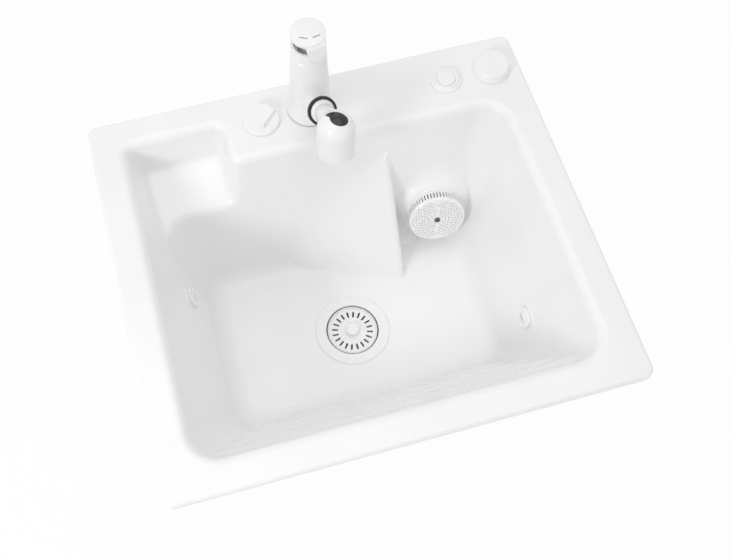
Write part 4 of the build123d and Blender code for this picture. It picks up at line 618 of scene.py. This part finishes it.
motor_low, motor_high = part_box("pump_motor")
shaft_y, shaft_z = 0.19123, -0.18221
plain_ends = 0.020
rib_length = motor_high.x - motor_low.x - plain_ends
grow(
    "motor_ribs",
    rib_tree(motor_enamel),
    {"Radius": 0.0462, "Count": 44, "Size": (0.003, 0.0016, rib_length)},
    facing(((motor_low.x + motor_high.x) / 2, shaft_y, shaft_z), (1, 0, 0)),
    "sink",
)

# %% [markdown]
# ## Floor, background and light
# The sink lies against plain white. The floor keeps a soft shadow, and what the camera sees of it is lifted
# towards white with Light Path, so that the lamps don't have to be strong enough to burn the acrylic out. A
# small lamp at the left stands for a window, a wide one overhead for the tent of a photographer's table, and a
# weak one behind fills in. So the bowl's left wall and the tap's right side, which face away from the window,
# are a shade darker.

# %% Floor and background
floor_z = cad_low.z - 0.0005
floor_reach = 6
floor_glow = 0.94
room_light = 0.65
pure_white = (1, 1, 1, 1)


def make_floor(reach, level):
    """A square floor that reaches this far from the middle each way."""
    mesh = bpy.data.meshes.new("floor")
    corners = [(-reach, -reach, level), (reach, -reach, level), (reach, reach, level), (-reach, reach, level)]
    mesh.from_pydata(corners, [], [(0, 1, 2, 3)])
    floor = bpy.data.objects.new("floor", mesh)
    scene.collection.objects.link(floor)
    return floor


def show_white(tree, lit, white, share, end):
    """Where the camera looks, straight or in a reflection, this share of white takes the lit shader's place."""
    rays = add_node(tree, "ShaderNodeLightPath")
    seen = add_node(
        tree,
        "ShaderNodeMath",
        {0: rays.outputs["Is Camera Ray"], 1: rays.outputs["Is Glossy Ray"]},
        operation="MAXIMUM",
    )
    part = add_node(tree, "ShaderNodeMath", {0: seen.outputs[0], 1: share}, operation="MULTIPLY")
    mixed = add_node(
        tree, "ShaderNodeMixShader", {0: part.outputs[0], 1: lit.outputs[0], 2: white.outputs[0]}
    )
    tree.links.new(mixed.outputs[0], tree.nodes[end].inputs["Surface"])


floor = make_floor(floor_reach, floor_z)
floor_paint = bpy.data.materials.new("pale_studio_floor")
floor_paint.use_nodes = True
tree = floor_paint.node_tree
shader = tree.nodes["Principled BSDF"]
shader.inputs["Base Color"].default_value = linear("#f4f4f4")
shader.inputs["Roughness"].default_value = 0.9
glow = add_node(tree, "ShaderNodeEmission", {"Color": pure_white, "Strength": 1.0})
show_white(tree, shader, glow, floor_glow, "Material Output")
floor.data.materials.append(floor_paint)

world = bpy.data.worlds.new("pale_room")
scene.world = world
world.use_nodes = True
tree = world.node_tree
background = tree.nodes["Background"]
background.inputs["Color"].default_value = pure_white
background.inputs["Strength"].default_value = room_light
white = add_node(tree, "ShaderNodeBackground", {"Color": pure_white, "Strength": 1.0})
show_white(tree, background, white, 1.0, "World Output")
print("floor at", round(floor_z, 4))


# %% Lamps
def soft_lamp(name, position, target, size, watts):
    """A square area lamp that faces its target."""
    data = bpy.data.lights.new(name, "AREA")
    data.shape = "SQUARE"
    data.size = size
    data.energy = watts
    lamp = bpy.data.objects.new(name, data)
    scene.collection.objects.link(lamp)
    lamp.location = position
    lamp.rotation_mode = "QUATERNION"
    lamp.rotation_quaternion = (Vector(target) - Vector(position)).to_track_quat("-Z", "Y")
    return lamp


window = soft_lamp("window_left", (-1.5, -0.95, 1.0), (0, 0.1, 0), size=0.45, watts=10.5)
tent = soft_lamp("tent_top", (0, 0, 3.0), (0, 0, 0), size=3.0, watts=21)
fill = soft_lamp("fill_back", (0.2, 1.9, 1.2), (0, 0, 0), size=1.4, watts=2.5)
print("lamps:", {lamp.name: lamp.data.energy for lamp in (window, tent, fill)})

scene.view_settings.view_transform = "Standard"
